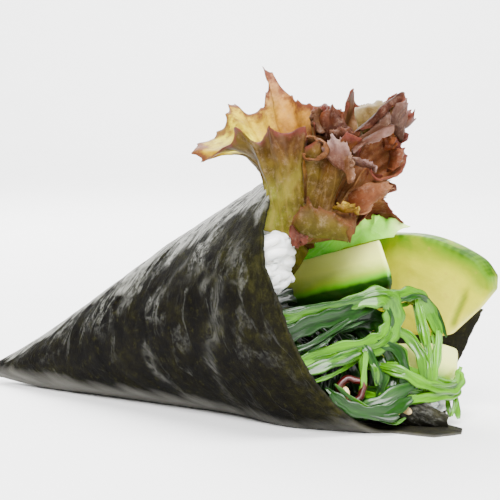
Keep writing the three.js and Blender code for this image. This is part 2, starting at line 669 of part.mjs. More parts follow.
/** One grain of rice. */
function grain(centre, random) {
  const turn = new THREE.Euler(3 * random(), 3 * random(), 3 * random());
  const long = 0.5 * GRAIN.length * (0.85 + 0.3 * random());
  return ellipsoid(centre, [long, 0.5 * GRAIN.thick, 0.5 * GRAIN.thick], GRAIN.sides, turn);
}

/** Grains over the front of a patch of rice, spread evenly by the golden angle. */
function grainsOn({ centre, radii, count }, random) {
  const grains = [];
  for (let k = 0; k < count; k += 1) {
    const lift = 1 - (1.3 * (k + 0.5)) / count;
    const ring = SET_IN * Math.sqrt(Math.max(1 - lift * lift, 0));
    const angle = GOLDEN_ANGLE * k;
    grains.push(grain([
      centre[0] + SET_IN * radii[0] * Math.max(lift, 0.1),
      centre[1] + radii[1] * ring * Math.cos(angle),
      centre[2] + radii[2] * ring * Math.sin(angle),
    ], random));
  }
  return grains;
}

/** The rice: packed core, lumps that reach the mouth and the grains that show. */
function rice(space) {
  const random = seededRandom(RICE_SEED);
  const packed = plug(RICE_TOP, SHEET + 2 * GAP, RICE_BUMP);
  const lumps = RICE_LUMPS.map(({ centre, radii }) => ellipsoid(centre, radii, LUMP_SIDES));
  const grains = GRAIN_PATCHES.flatMap((patch) => grainsOn(patch, random));
  return packed.add(join([...lumps, ...grains]).intersect(space));
}

// ---- Assembly ----------------------------------------------------------------------

const roll = new THREE.Group();
roll.rotation.y = -radians(TILT);
roll.position.set(
  APEX[0] + MOUTH * Math.cos(radians(TILT)),
  APEX[1],
  APEX[2] + MOUTH * Math.sin(radians(TILT)),
);

/** Adds a solid to the roll as a named mesh. */
function add(name, solid, colour, roughness) {
  const { vertProperties, triVerts } = largestBody(solid).getMesh();
  const geometry = new THREE.BufferGeometry();
  geometry.setAttribute('position', new THREE.BufferAttribute(vertProperties, 3));
  geometry.setIndex(new THREE.BufferAttribute(triVerts, 1));
  geometry.computeVertexNormals();
  const material = new THREE.MeshStandardMaterial({ color: colour, roughness, metalness: 0 });
  const mesh = new THREE.Mesh(geometry, material);
  mesh.name = name;
  roll.add(mesh);
}

const space = plug(18, SHEET + 2 * GAP, 0);
const wallCutters = [wrapShell(GAP), wrapCurl(GAP)];
const firmCutters = [baton(CUCUMBER_FRONT, GAP), baton(CUCUMBER_BACK, GAP), avocado(GAP), chilli(GAP)];
const lettuceSolid = carve(lettuce(), [...firmCutters, wallCutters[0]]);
const leafSolid = carve(greenLeaf(), [...firmCutters, lettuce(GAP)]);
const saladSolid = carve(salad(), [...firmCutters, ...wallCutters]);
const riceSolid = carve(rice(space), [...firmCutters, ...wallCutters, lettuce(GAP), salad(GAP)]);

add('nori_wrap', wrapShell().add(wrapCurl()), '#22251a', 0.38);
add('rice', riceSolid, '#eceae2', 0.55);
add('lettuce', lettuceSolid, '#7a4a34', 0.5);
add('green_leaf', leafSolid, '#6fb04a', 0.45);
add('cucumber_front', baton(CUCUMBER_FRONT), '#d7d9a0', 0.4);
add('cucumber_back', baton(CUCUMBER_BACK), '#e6e5bd', 0.4);
add('avocado', avocado(), '#cdbf7a', 0.45);
add('wakame_salad', saladSolid, '#3f8f2e', 0.25);
add('chili_ring', chilli(), '#6d1a12', 0.35);

const temaki = new THREE.Group();
temaki.add(roll);

export default temaki;
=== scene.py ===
"""Looks of a temaki hand roll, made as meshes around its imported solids.

The roll lies on its side: a cone of seaweed sheet filled with rice, cucumber, avocado,
seaweed salad, a ring of chilli and two frilly leaves. Blender works in metres, +X from the
tip of the cone to its mouth, +Z up and -Y the near side. The pieces are laid out in roll
coordinates, in millimetres: along the cone's axis from its mouth, towards the near side,
and up square to the axis.
"""

from __future__ import annotations

import logging
import math
from dataclasses import dataclass, field
from enum import Enum
from typing import Callable, Sequence

import bmesh
import bpy
import numpy as np
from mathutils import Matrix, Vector


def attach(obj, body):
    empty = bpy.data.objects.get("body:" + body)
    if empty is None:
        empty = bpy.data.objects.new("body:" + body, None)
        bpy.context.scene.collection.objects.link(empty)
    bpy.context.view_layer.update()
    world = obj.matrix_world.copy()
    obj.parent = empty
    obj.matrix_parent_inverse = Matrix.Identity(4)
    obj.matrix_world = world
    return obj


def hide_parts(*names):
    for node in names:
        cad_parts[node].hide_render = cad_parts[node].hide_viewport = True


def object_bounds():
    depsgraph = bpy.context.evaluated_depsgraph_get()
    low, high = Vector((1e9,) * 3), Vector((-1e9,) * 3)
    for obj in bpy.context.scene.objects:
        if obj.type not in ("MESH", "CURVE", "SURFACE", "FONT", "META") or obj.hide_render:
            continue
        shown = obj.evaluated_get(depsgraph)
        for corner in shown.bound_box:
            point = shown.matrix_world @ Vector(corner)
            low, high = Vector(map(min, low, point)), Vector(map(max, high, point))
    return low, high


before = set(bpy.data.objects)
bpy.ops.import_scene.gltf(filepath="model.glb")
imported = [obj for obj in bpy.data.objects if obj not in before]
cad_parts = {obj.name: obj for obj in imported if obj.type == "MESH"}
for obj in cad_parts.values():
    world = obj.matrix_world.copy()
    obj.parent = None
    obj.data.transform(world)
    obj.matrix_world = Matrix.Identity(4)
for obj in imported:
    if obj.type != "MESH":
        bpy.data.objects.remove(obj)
SOLID_BOX = [list(corner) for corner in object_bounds()]

LOG = logging.getLogger("temaki")
BODY = "root"
MM = 0.001

Array = np.ndarray
Point = tuple[float, float, float]
Colour = tuple[float, float, float]
Flat = tuple[float, float]
Line = tuple[Point, ...]
Outline = Callable[[Array, Array], tuple[Array, Array]]
Socket = bpy.types.NodeSocket
Material = bpy.types.Material
Object = bpy.types.Object
Given = Socket | Sequence[float] | float

GOLDEN_ANGLE = 2.39996
MIX_COLOURS = (6, 7)  # the inputs and the output of a Mix node that hold colours
MIX_RESULT = 2
TINT = ("red", "green", "blue")


# ---- Curves, noise and meshes ----


def smooth_line(points: Sequence[Sequence[float]], shares: Array) -> Array:
    """Points on a smooth curve through the given ones.

    Args:
        points: The points that the curve passes through, at even shares of it.
        shares: Places along the curve, from 0 to 1.

    Returns:
        One row for each share.
    """
    knots = np.array(points, float)
    padded = np.vstack([2 * knots[0] - knots[1], knots, 2 * knots[-1] - knots[-2]])
    place = np.clip(shares, 0, 1) * (len(knots) - 1)
    cell = np.minimum(place.astype(int), len(knots) - 2)
    rest = (place - cell)[..., None]
    before, start, end, after = (padded[cell + k] for k in range(4))
    leave = 0.5 * (end - before)
    arrive = 0.5 * (after - start)
    bend = 3 * (end - start) - 2 * leave - arrive
    twist = 2 * (start - end) + leave + arrive
    return start + rest * (leave + rest * (bend + rest * twist))


def cos_sin(degrees: float) -> tuple[float, float]:
    """Cosine and sine of an angle in degrees."""
    return math.cos(math.radians(degrees)), math.sin(math.radians(degrees))


def full_turn(count: int) -> Array:
    """Even angles once round, in radians."""
    return np.linspace(0, 2 * math.pi, count, endpoint=False)


def grid(rows: Array, columns: Array) -> tuple[Array, Array]:
    """A grid's row values and its column values, at each of its points."""
    return np.meshgrid(rows, columns, indexing="ij")


def share_grid(rows: int, columns: int) -> tuple[Array, Array]:
    """Shares from 0 to 1 down the rows of a grid, and along its columns."""
    return grid(np.linspace(0, 1, rows), np.linspace(0, 1, columns))


def ball_grid(rows: int, columns: int, gap: float) -> tuple[Array, Array]:
    """Angles from a ball's first pole, short of both by a gap, and angles round it."""
    return grid(np.linspace(gap, math.pi - gap, rows), full_turn(columns))


def ball(lift: Array, around: Array, radii: Point = (1, 1, 1), taper: Array | float = 1.0) -> Array:
    """Points of a ball by its angles, stretched by its radii and narrowed by a taper."""
    return np.stack([
        radii[0] * np.cos(lift), radii[1] * np.sin(lift) * np.cos(around) * taper,
        radii[2] * np.sin(lift) * np.sin(around) * taper,
    ], axis=-1)


def as_tint(colours: Array) -> dict[str, Array]:
    """Colours as the red, green and blue that a mesh holds."""
    return dict(zip(TINT, np.moveaxis(colours, -1, 0)))


def on_table(name: str, data: bpy.types.ID) -> Object:
    """A new object of the scene."""
    made = bpy.data.objects.new(name, data)
    bpy.context.scene.collection.objects.link(made)
    return made


def tone(red: float, green: float, blue: float) -> Colour:
    """A colour as light, from its usual values of 0 to 255."""
    return tuple(((value / 255 + 0.055) / 1.055) ** 2.4 for value in (red, green, blue))


def unit(vectors: Array) -> Array:
    """The vectors at length 1."""
    return vectors / np.maximum(np.linalg.norm(vectors, axis=-1, keepdims=True), 1e-12)


class Relief:
    """Smooth random heights in space, the same on every run."""

    def __init__(self, seed: int) -> None:
        """Draws the random slopes of the lattice.

        Args:
            seed: Picks the pattern.
        """
        random = np.random.default_rng(seed)
        self.order = random.permutation(256)
        self.slopes = unit(random.normal(size=(256, 3)))

    def plain(self, points: Array) -> Array:
        """Heights from about -0.7 to 0.7 that change over a distance of 1.

        Args:
            points: Where they are looked up.

        Returns:
            One height for each point.
        """
        flat = points.reshape(-1, 3)
        cell = np.floor(flat).astype(int)
        local = flat - cell
        fade = local**3 * (local * (local * 6 - 15) + 10)
        total = np.zeros(len(flat))
        for corner in np.ndindex(2, 2, 2):
            step = np.array(corner)
            x, y, z = (cell + step).T
            index = self.order[(self.order[(self.order[x & 255] + y) & 255] + z) & 255]
            weight = np.prod(np.where(step, fade, 1 - fade), axis=1)
            total += weight * np.einsum("ij,ij->i", self.slopes[index], local - step)
        return total.reshape(points.shape[:-1])

    def layered(self, points: Array, layers: int = 3) -> Array:
        """Heights with finer ones added, each half as large and half as wide."""
        return sum(self.plain(points * 2.03**k + 7.1 * k) / 2**k for k in range(layers))

    def ridges(self, points: Array, sharpness: float = 6.0) -> Array:
        """Thin ridges, from 0 between them to 1 on their crests."""
        return np.exp(-((sharpness * self.plain(points)) ** 2))


@dataclass(frozen=True)
class RollFrame:
    """Where the roll lies.

    Attributes:
        apex: Where the cone's apex would stand, in the frame's axes.
        half_angle: Between the cone's axis and its side, in degrees.
        tilt: Of the axis above the table, in degrees.
        mouth: From the apex to the mouth plane.
        tip_slant: Slant length at which the cone starts.
        tip_lift: How far its tip is raised off the table.
        tip_reach: The slant length over which that fades out.
    """

    apex: Point = (-67.01, -0.45, 0.0)
    half_angle: float = 16.0
    tilt: float = 15.2
    mouth: float = 104.0
    tip_slant: float = 7.0
    tip_lift: float = 1.3
    tip_reach: float = 22.0

    def metres(self, points: Array) -> Array:
        """Changes roll coordinates into places.

        Args:
            points: Roll coordinates in millimetres.

        Returns:
            The frame's own axes, in metres.
        """
        cos, sin = cos_sin(self.tilt)
        along, near, up = np.moveaxis(points, -1, 0)
        x = (self.mouth + along) * cos - up * sin
        z = (self.mouth + along) * sin + up * cos
        return MM * (np.stack([x, -near, z], axis=-1) + np.array(self.apex))

    def height(self, points: Array) -> Array:
        """Height above the table, in millimetres."""
        cos, sin = cos_sin(self.tilt)
        return (self.mouth + points[..., 0]) * sin + points[..., 2] * cos

    def settle(self, points: Array, height: float) -> Array:
        """Lifts what lies lower than a height above the table.

        Args:
            points: Roll coordinates.
            height: Above the table, in millimetres.

        Returns:
            The raised points.
        """
        cos, sin = cos_sin(self.tilt)
        lift = np.maximum(height - self.height(points), 0)
        return points + lift[..., None] * np.array([sin, 0, cos])

    def on_cone(self, slant: Array, turn: Array, depth: Array | float) -> Array:
        """Points of the cone.

        Args:
            slant: Distance from the apex along the side.
            turn: Degrees round from the top, towards the near side.
            depth: Distance under the side.

        Returns:
            Roll coordinates.
        """
        cos, sin = cos_sin(self.half_angle)
        around = np.radians(turn)
        radius = slant * sin - depth * cos
        along = slant * cos + depth * sin - self.mouth
        fade = np.maximum(1 - np.maximum(slant - self.tip_slant, 0) / self.tip_reach, 0)
        up = radius * np.cos(around) + self.tip_lift * fade**2
        return np.stack([along, radius * np.sin(around), up], axis=-1)

    def keep_inside(self, points: Array, clearance: float) -> Array:
        """Pulls points that far inside the cone's side and off the table.

        Args:
            points: Roll coordinates.
            clearance: From the side and the table.

        Returns:
            The moved points.
        """
        spare = clearance / cos_sin(self.half_angle)[0]
        limit = (self.mouth + points[..., 0]) * math.tan(math.radians(self.half_angle)) - spare
        radius = np.hypot(points[..., 1], points[..., 2])
        shrink = np.minimum(1, np.maximum(limit, 0.5) / np.maximum(radius, 1e-6))
        held = points * np.stack([np.ones_like(shrink), shrink, shrink], axis=-1)
        return self.settle(held, clearance)


ROLL = RollFrame()


def grid_faces(rows: int, columns: int, closed: bool = False) -> Array:
    """Quads of a grid of points.

    Args:
        rows: Number of rows of points.
        columns: Number of points in a row.
        closed: Whether the last point of a row meets its first.

    Returns:
        One row of four indices for each quad.
    """
    row, column = grid(np.arange(rows - 1), np.arange(columns if closed else columns - 1))
    beside = (column + 1) % columns
    here, below = row * columns, (row + 1) * columns
    quads = [here + column, here + beside, below + beside, below + column]
    return np.stack(quads, axis=-1).reshape(-1, 4)


@dataclass
class Draft:
    """A mesh while it is being made, in roll coordinates."""

    points: list[Array] = field(default_factory=list)
    faces: list[list[int]] = field(default_factory=list)
    slots: list[int] = field(default_factory=list)
    values: dict[str, list[Array]] = field(default_factory=dict)
    count: int = 0

    def add(
        self, points: Array, faces: Sequence[Sequence[int]], slot: int = 0, **values: Array | float
    ) -> None:
        """Adds points and the faces between them.

        Args:
            points: Roll coordinates.
            faces: Indices into those points.
            slot: Which of the piece's materials the faces have.
            values: Numbers that the materials read, one for each point.
        """
        self.points.append(points.reshape(-1, 3))
        self.faces += [[index + self.count for index in face] for face in faces]
        self.slots += [slot] * len(faces)
        for name in self.values | values:
            known = self.values.setdefault(name, [np.zeros(self.count)])
            known.append(np.broadcast_to(values.get(name, 0.0), points.shape[:-1]).ravel())
        self.count += len(self.points[-1])

    def add_sheet(self, middle: Array, thickness: Array | float, **values: Array | float) -> None:
        """Adds a thin solid sheet.

        Args:
            middle: Its middle surface, as a grid of roll coordinates.
            thickness: Of the sheet, one number or one for each point.
            values: Numbers that the materials read, one for each point of the grid.
        """
        rows, columns = middle.shape[:2]
        half = 0.5 * np.broadcast_to(thickness, (rows, columns))[..., None] * sheet_normal(middle)
        both = np.stack([middle + half, middle - half])
        size = rows * columns
        front = grid_faces(rows, columns)
        edge = np.concatenate([
            np.arange(columns - 1), np.arange(rows - 1) * columns + columns - 1,
            size - 1 - np.arange(columns - 1), (rows - 1 - np.arange(rows - 1)) * columns,
        ])
        beyond = np.roll(edge, -1)
        rim = np.stack([edge, beyond, beyond + size, edge + size], axis=-1)
        faces = np.vstack([front, front[:, ::-1] + size, rim])
        self.add(both, faces.tolist(), **values)

    def add_tube(self, rings: Array, slot: int = 0, caps: int = 3, **values: Array | float) -> None:
        """Adds a closed bar.

        Args:
            rings: Its outline at each step along it, as a grid of roll coordinates.
            slot: Which of the piece's materials it has.
            caps: Number of rings that close each end.
            values: Numbers that the materials read, one for each point of the grid.
        """
        shares = np.linspace(0, 0.97, caps + 1)[1:, None, None]

        def shut(held: Array) -> Array:
            """What the rings hold, with rings that shrink to a point at both ends."""
            first, last = held[:1], held[-1:]
            opening = first + shares[::-1] * (first.mean(axis=1, keepdims=True) - first)
            closing = last + shares * (last.mean(axis=1, keepdims=True) - last)
            return np.concatenate([opening, held, closing])

        whole = shut(rings)
        rows, columns = whole.shape[:2]
        faces = grid_faces(rows, columns, closed=True).tolist()
        faces += [list(range(columns))[::-1], list(range((rows - 1) * columns, rows * columns))]
        reads = {
            name: shut(np.broadcast_to(value, rings.shape[:2])[..., None])[..., 0]
            for name, value in values.items()
        }
        self.add(whole, faces, slot, **reads)

    def piece(self, name: str, materials: Sequence[Material], node: str) -> Object:
        """Makes the Blender object, which stands for a node and rides on the roll.

        Args:
            name: Of the object.
            materials: Its materials, by slot.
            node: The solid that it stands for.

        Returns:
            The object.
        """
        mesh = bpy.data.meshes.new(name)
        places = np.clip(ROLL.metres(np.concatenate(self.points)), *SOLID_BOX)
        mesh.from_pydata(places.tolist(), [], self.faces)
        for key, parts in self.values.items():
            stored = mesh.attributes.new(key, "FLOAT", "POINT")
            stored.data.foreach_set("value", np.concatenate(parts).astype(np.float32))
        mesh.polygons.foreach_set("material_index", np.array(self.slots, np.int32))
        mesh.polygons.foreach_set("use_smooth", np.full(len(self.faces), True))
        tidy = bmesh.new()
        tidy.from_mesh(mesh)
        bmesh.ops.recalc_face_normals(tidy, faces=tidy.faces)
        tidy.to_mesh(mesh)
        tidy.free()
        for material in materials:
            mesh.materials.append(material)
        made = on_table(name, mesh)
        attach(made, BODY)
        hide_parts(node)
        LOG.info("%s: %d points, %d faces", name, len(mesh.vertices), len(mesh.polygons))
        return made


def sheet_normal(middle: Array) -> Array:
    """The directions square to a grid of points."""
    return unit(np.cross(np.gradient(middle, axis=1), np.gradient(middle, axis=0)))


def swept(path: Array, facing: Array, outline: Outline, sides: int) -> tuple[Array, Array, Array]:
    """Rings of a bar along a path.

    Args:
        path: The middle of the bar at each step.
        facing: Which way its deep side faces, in roll coordinates.
        outline: Gives [across, deep] by angle round the bar and share of its length.
        sides: Number of points in a ring.

    Returns:
        The rings, the angle at each point and the share along at each point.
    """
    tangent = unit(np.gradient(path, axis=0))
    across = unit(np.cross(np.broadcast_to(facing, path.shape), tangent))
    deep = np.cross(tangent, across)
    share, angle = grid(np.linspace(0, 1, len(path)), np.arange(sides) * 2 * math.pi / sides)
    wide_ways, deep_ways = (ways[..., None] for ways in outline(angle, share))
    return path[:, None] + wide_ways * across[:, None] + deep_ways * deep[:, None], angle, share


def bar_section(
    angle: Array, wide: Array | float, deep: Array | float, roundness: float
) -> tuple[Array, Array]:
    """Outline of a rounded bar, as [across, deep], square at 0 and round at 1."""
    across, down = (np.sign(way) * np.abs(way) ** roundness for way in (np.sin(angle), np.cos(angle)))
    return 0.5 * wide * across, 0.5 * deep * down


# ---- Finishes ----


class Blend(Enum):
    """How one colour is laid over another."""

    MIX = "MIX"
    # darkens one colour by another: the leaf's mottling, and the cucumber's painted shade
    STAIN_AND_SHADE = "MULTIPLY"


class Painter:
    """Builds one material's nodes."""

    def __init__(self, name: str, roughness: float, specular: float = 0.5) -> None:
        """Makes the material.

        Args:
            name: Of the material.
            roughness: Of its surface, where nothing else sets it.
            specular: How strongly its surface reflects.
        """
        self.material = bpy.data.materials.new(name)
        self.material.use_nodes = True
        self.tree = self.material.node_tree
        self.surface = self.tree.nodes["Principled BSDF"]
        self.dress({"Roughness": roughness, "Specular IOR Level": specular})
        self.place = self.node("TexCoord", {}, "Object")

    def fill(self, node: bpy.types.Node, inputs: dict[str | int, Given]) -> None:
        """Fills a node's inputs: outputs are linked to them, and fixed values are written.

        Args:
            node: Whose inputs they are.
            inputs: What goes into each, by name or number.
        """
        for name, given in inputs.items():
            if isinstance(given, Socket):
                self.tree.links.new(given, node.inputs[name])
            else:
                node.inputs[name].default_value = given

    def dress(self, inputs: dict[str | int, Given]) -> None:
        """Fills inputs of the surface itself."""
        self.fill(self.surface, inputs)

    def node(self, kind: str, inputs: dict[str | int, Given], output: str | int, **settings: str) -> Socket:
        """Adds a node.

        Args:
            kind: Of node.
            inputs: What goes into it, by the name or number of the input.
            output: The name or number of the output that is used.
            settings: Its other settings.

        Returns:
            The output.
        """
        node = self.tree.nodes.new("ShaderNode" + kind)
        for name, setting in settings.items():
            setattr(node, name, setting)
        self.fill(node, inputs)
        return node.outputs[output]

    def value(self, name: str) -> Socket:
        """A number that the mesh holds at each of its points."""
        return self.node("Attribute", {}, "Fac", attribute_name=name)

    def stretched(self, scale: Point) -> Socket:
        """Places stretched along each axis."""
        return self.node("Mapping", {"Scale": scale, "Vector": self.place}, "Vector")

    def noise(
        self, size: float, detail: float = 4.0, coarse: float = 0.55, place: Socket | None = None,
        warp: float = 0.0,
    ) -> Socket:
        """Cloudy noise from 0 to 1.

        Args:
            size: Of its patches, in millimetres.
            detail: How many finer layers it has.
            coarse: How strong the finer layers are.
            place: Where it is looked up, if not at the surface's own place.
            warp: How far it is distorted.

        Returns:
            The node's output.
        """
        return self.node("TexNoise", {
            "Scale": 1 / (size * MM), "Detail": detail, "Roughness": coarse, "Distortion": warp,
            "Vector": place or self.place,
        }, "Fac")

    def ramp(self, factor: Socket, stops: Sequence[tuple[float, Colour]]) -> Socket:
        """Colours by a factor.

        Args:
            factor: From 0 to 1.
            stops: The places of the colours and the colours, in order.

        Returns:
            The colour.
        """
        colour = self.node("ValToRGB", {"Fac": factor}, "Color")
        elements = colour.node.color_ramp.elements
        while len(elements) < len(stops):
            elements.new(0.5)
        for element, (place, stop) in zip(elements, stops):
            element.position = place
            element.color = (*stop, 1)
        return colour

    def scalar(self, factor: Socket, start: float, end: float, low: float, high: float) -> Socket:
        """A factor from start to end, drawn out from low to high."""
        span = {"From Min": start, "From Max": end, "To Min": low, "To Max": high}
        return self.node("MapRange", {"Value": factor, **span}, "Result")

    def clouds(self, size: float, detail: float, coarse: float, *span: float) -> Socket:
        """Cloudy noise drawn out, by its start, end, low and high."""
        return self.scalar(self.noise(size, detail, coarse), *span)

    def maths(self, kind: str, first: Socket, second: Given) -> Socket:
        """Two numbers added, multiplied and so on."""
        return self.node("Math", {0: first, 1: second}, "Value", operation=kind)

    def held_place(self, scales: dict[str, float]) -> Socket:
        """A place made of three numbers that the mesh holds, each by its own scale."""
        scaled = (self.maths("MULTIPLY", self.value(name), scale) for name, scale in scales.items())
        return self.node("CombineXYZ", dict(zip("XYZ", scaled)), "Vector")

    def held_colour(self) -> Socket:
        """The colour that the mesh holds at each of its points."""
        return self.node("CombineColor", {name.title(): self.value(name) for name in TINT}, "Color")

    def mix(self, factor: Socket, first: Given, second: Given, blend: Blend = Blend.MIX) -> Socket:
        """Mixes two colours.

        Args:
            factor: From 0, all the first, to 1, all the second.
            first: The first colour.
            second: The second colour.
            blend: How the second is laid over the first.

        Returns:
            The mixed colour.
        """
        whole = {0: factor}
        for number, colour in zip(MIX_COLOURS, (first, second)):
            whole[number] = (*colour, 1) if isinstance(colour, tuple) else colour
        return self.node("Mix", whole, MIX_RESULT, data_type="RGBA", blend_type=blend.value)

    def bump(self, height: Socket, depth: float, strength: float = 1.0) -> None:
        """Raises the surface.

        Args:
            height: From 0 to 1.
            depth: Of the whole relief, in millimetres.
            strength: How much of it shows.
        """
        inputs = {"Strength": strength, "Distance": depth * MM, "Height": height}
        for link in self.surface.inputs["Normal"].links:
            inputs["Normal"] = link.from_socket
        self.dress({"Normal": self.node("Bump", inputs, "Normal")})

    def colour(self, output: Socket) -> None:
        """Gives the surface its colour."""
        self.dress({"Base Color": output})

    def flesh(self, share: float, depth: float, colour_depth: Colour = (1.0, 0.8, 0.5)) -> None:
        """Lets light into the surface, by a share and a depth in millimetres."""
        self.dress({
            "Subsurface Weight": share, "Subsurface Radius": colour_depth, "Subsurface Scale": depth * MM,
        })

    def wet(self, coat: float, roughness: float) -> None:
        """Lays a clear wet film over the surface."""
        self.dress({"Coat Weight": coat, "Coat Roughness": roughness})


@dataclass(frozen=True)
class NoriFinish:
    """Dried seaweed sheet: green-black, mottled with olive, with painted grey highlights (thin ribbons on
    the creases, a band along the top, broad streaks), a painted reflection of the table underneath and a
    thin painted sheen inside.
    """

    black: Colour = (0.001, 0.0009, 0.0006)
    green: Colour = (0.003, 0.0026, 0.0011)
    olive: Colour = (0.0055, 0.0052, 0.0009)
    fleck: Colour = (0.021, 0.02, 0.0038)
    # painted highlight: the grey that the crease ribbons, the band along the top and the broad streaks are
    # painted in
    painted_sheen: Colour = (0.215, 0.215, 0.19)
    # painted reflection: the grey of the table reflected along the underside; a little of it is laid over
    # the inner face as a painted sheen
    under: Colour = (0.13, 0.126, 0.112)

    def ribbons(self, paint: Painter, spacing: float, length: float, share: float) -> Socket:
        """Thin lines along the creases.

        Args:
            paint: The material's nodes.
            spacing: Between the lines, in millimetres.
            length: Of a line before it bends away, in millimetres.
            share: How wide they are.

        Returns:
            From 0 between the lines to 1 on them.
        """
        place = paint.held_place({"along": 1 / spacing, "east": 1 / length, "north": 1 / length})
        wave = paint.noise(1 / MM, 5, 0.55, place, 0.25)
        away = paint.maths("ABSOLUTE", paint.maths("SUBTRACT", wave, 0.5), 0.0)
        return paint.scalar(away, 0.0, share, 1.0, 0.0)

    def material(self) -> Material:
        """Builds the nodes.

        Returns:
            The material.
        """
        paint = Painter("nori", 0.4, 0.04)
        cloud = paint.noise(8, 3, 0.6, warp=0.5)
        grain = paint.noise(2.6, 7, 0.82, warp=0.3)
        rim = paint.maths("MULTIPLY", paint.value("rim"), 0.16)
        worn = paint.maths("ADD", paint.scalar(cloud, 0.35, 0.65, -0.07, 0.07), rim)
        mottle = paint.maths("ADD", grain, worn)
        base = paint.ramp(mottle, (
            (0.44, self.black), (0.54, self.green), (0.64, self.olive), (0.82, self.fleck),
        ))
        # Painted highlights: grey ribbons along the creases where the mesh says they gloss, and the fibrous
        # painted band along the top with the broad streaks
        broken = paint.clouds(7, 3, 0.6, 0.42, 0.52, 0.1, 1.0)
        broad = paint.maths("MULTIPLY", self.ribbons(paint, 11, 26, 0.03), broken)
        small = paint.maths("MULTIPLY", self.ribbons(paint, 4.5, 10, 0.06), paint.value("finer"))
        lines = paint.maths("MAXIMUM", broad, small)
        fine = paint.clouds(1.1, 4, 0.7, 0.4, 0.58, 0.1, 1.0)
        crease_highlight = paint.maths("MULTIPLY", paint.maths("MULTIPLY", lines, paint.value("gloss")), fine)
        grainy = paint.scalar(grain, 0.42, 0.54, 0.0, 0.4)
        fibres = paint.maths("ADD", self.ribbons(paint, 2.2, 5, 0.11), grainy)
        painted_sheen_band = paint.maths("MULTIPLY", paint.value("painted_sheen_band"), fibres)
        streaks = paint.maths("MAXIMUM", crease_highlight, painted_sheen_band)
        specks = paint.clouds(1.6, 6, 0.85, 0.55, 0.65, 0.0, 0.7)
        flecked = paint.mix(specks, base, self.fleck)
        # the painted highlights are mixed over the flecked colour
        streaked = paint.mix(paint.scalar(streaks, 0.0, 1.0, 0.0, 0.9), flecked, self.painted_sheen)
        # painted reflection of the table along the underside, and a thin painted sheen on the inner face
        # and the curl
        paint.colour(paint.mix(paint.value("under"), streaked, self.under))
        paint.dress({"Roughness": paint.scalar(streaks, 0.1, 0.7, 0.7, 0.3)})
        paint.bump(grain, 0.3, 0.6)
        paint.bump(lines, 0.25, 0.5)
        return paint.material


@dataclass(frozen=True)
class LeafFinish:
    """A frilly leaf that holds its own tints, with a darker margin, fine veins and pale speckles that are
    partly painted small highlights.
    """

    name: str
    margin: Colour
    rib: Colour
    vein: Colour
    dark: Colour
    fleck_and_glint: Colour
    margin_share: float = 0.85

    def material(self) -> Material:
        """Builds the nodes.

        Returns:
            The material.
        """
        paint = Painter(self.name, 0.55, 0.08)
        clouds = paint.clouds(4, 6, 0.7, 0.42, 0.6, 0.0, 0.85)
        clouded = paint.mix(clouds, paint.held_colour(), self.dark, Blend.STAIN_AND_SHADE)
        # pale speckles: partly the leaf's own flecks, partly painted small highlights
        speckle = paint.clouds(1.6, 5, 0.75, 0.52, 0.72, 0.0, 0.22)
        mottled = paint.mix(speckle, clouded, self.fleck_and_glint)
        veins = paint.scalar(paint.value("vein"), 0.15, 0.9, 0.0, 0.18)
        veined = paint.mix(veins, mottled, self.vein)
        rib = paint.scalar(paint.value("rib"), 0.1, 0.9, 0.0, 0.5)
        ribbed = paint.mix(rib, veined, self.rib)
        out = paint.maths("ADD", paint.value("out"), paint.clouds(2, 3, 0.6, 0.3, 0.7, -0.05, 0.05))
        edge = paint.scalar(out, 0.91, 0.98, 0.0, self.margin_share)
        paint.colour(paint.mix(edge, ribbed, self.margin))
        paint.flesh(0.12, 0.8, (1.0, 0.6, 0.25))
        paint.bump(paint.value("vein"), 0.12, 0.5)
        paint.bump(paint.noise(1.3, 4, 0.6), 0.25, 0.5)
        return paint.material


@dataclass(frozen=True)
class Tints:
    """Tints that run into one another over a leaf.

    Attributes:
        zones: Where each tint is purest, and its values of 0 to 255.
        reach: How sharply they part.
        stray: How far their borders wander.
    """

    zones: tuple[tuple[Point, Colour], ...]
    reach: float = 4.5
    stray: float = 3.0

    def at(self, points: Array) -> dict[str, Array]:
        """Finds the tint at each point.

        Args:
            points: Roll coordinates.

        Returns:
            Its red, green and blue.
        """
        strays = [Relief(seed).layered(points / 6, 3) for seed in (90, 91, 92)]
        moved = points + self.stray * np.stack(strays, axis=-1)
        spread = np.array([np.sum((moved - np.array(centre)) ** 2, axis=-1) for centre, _ in self.zones])
        weights = np.exp(-(spread - spread.min(axis=0)) / self.reach**2)
        weights /= weights.sum(axis=0)
        return as_tint(np.tensordot(weights, [tone(*colour) for _, colour in self.zones], axes=(0, 0)))


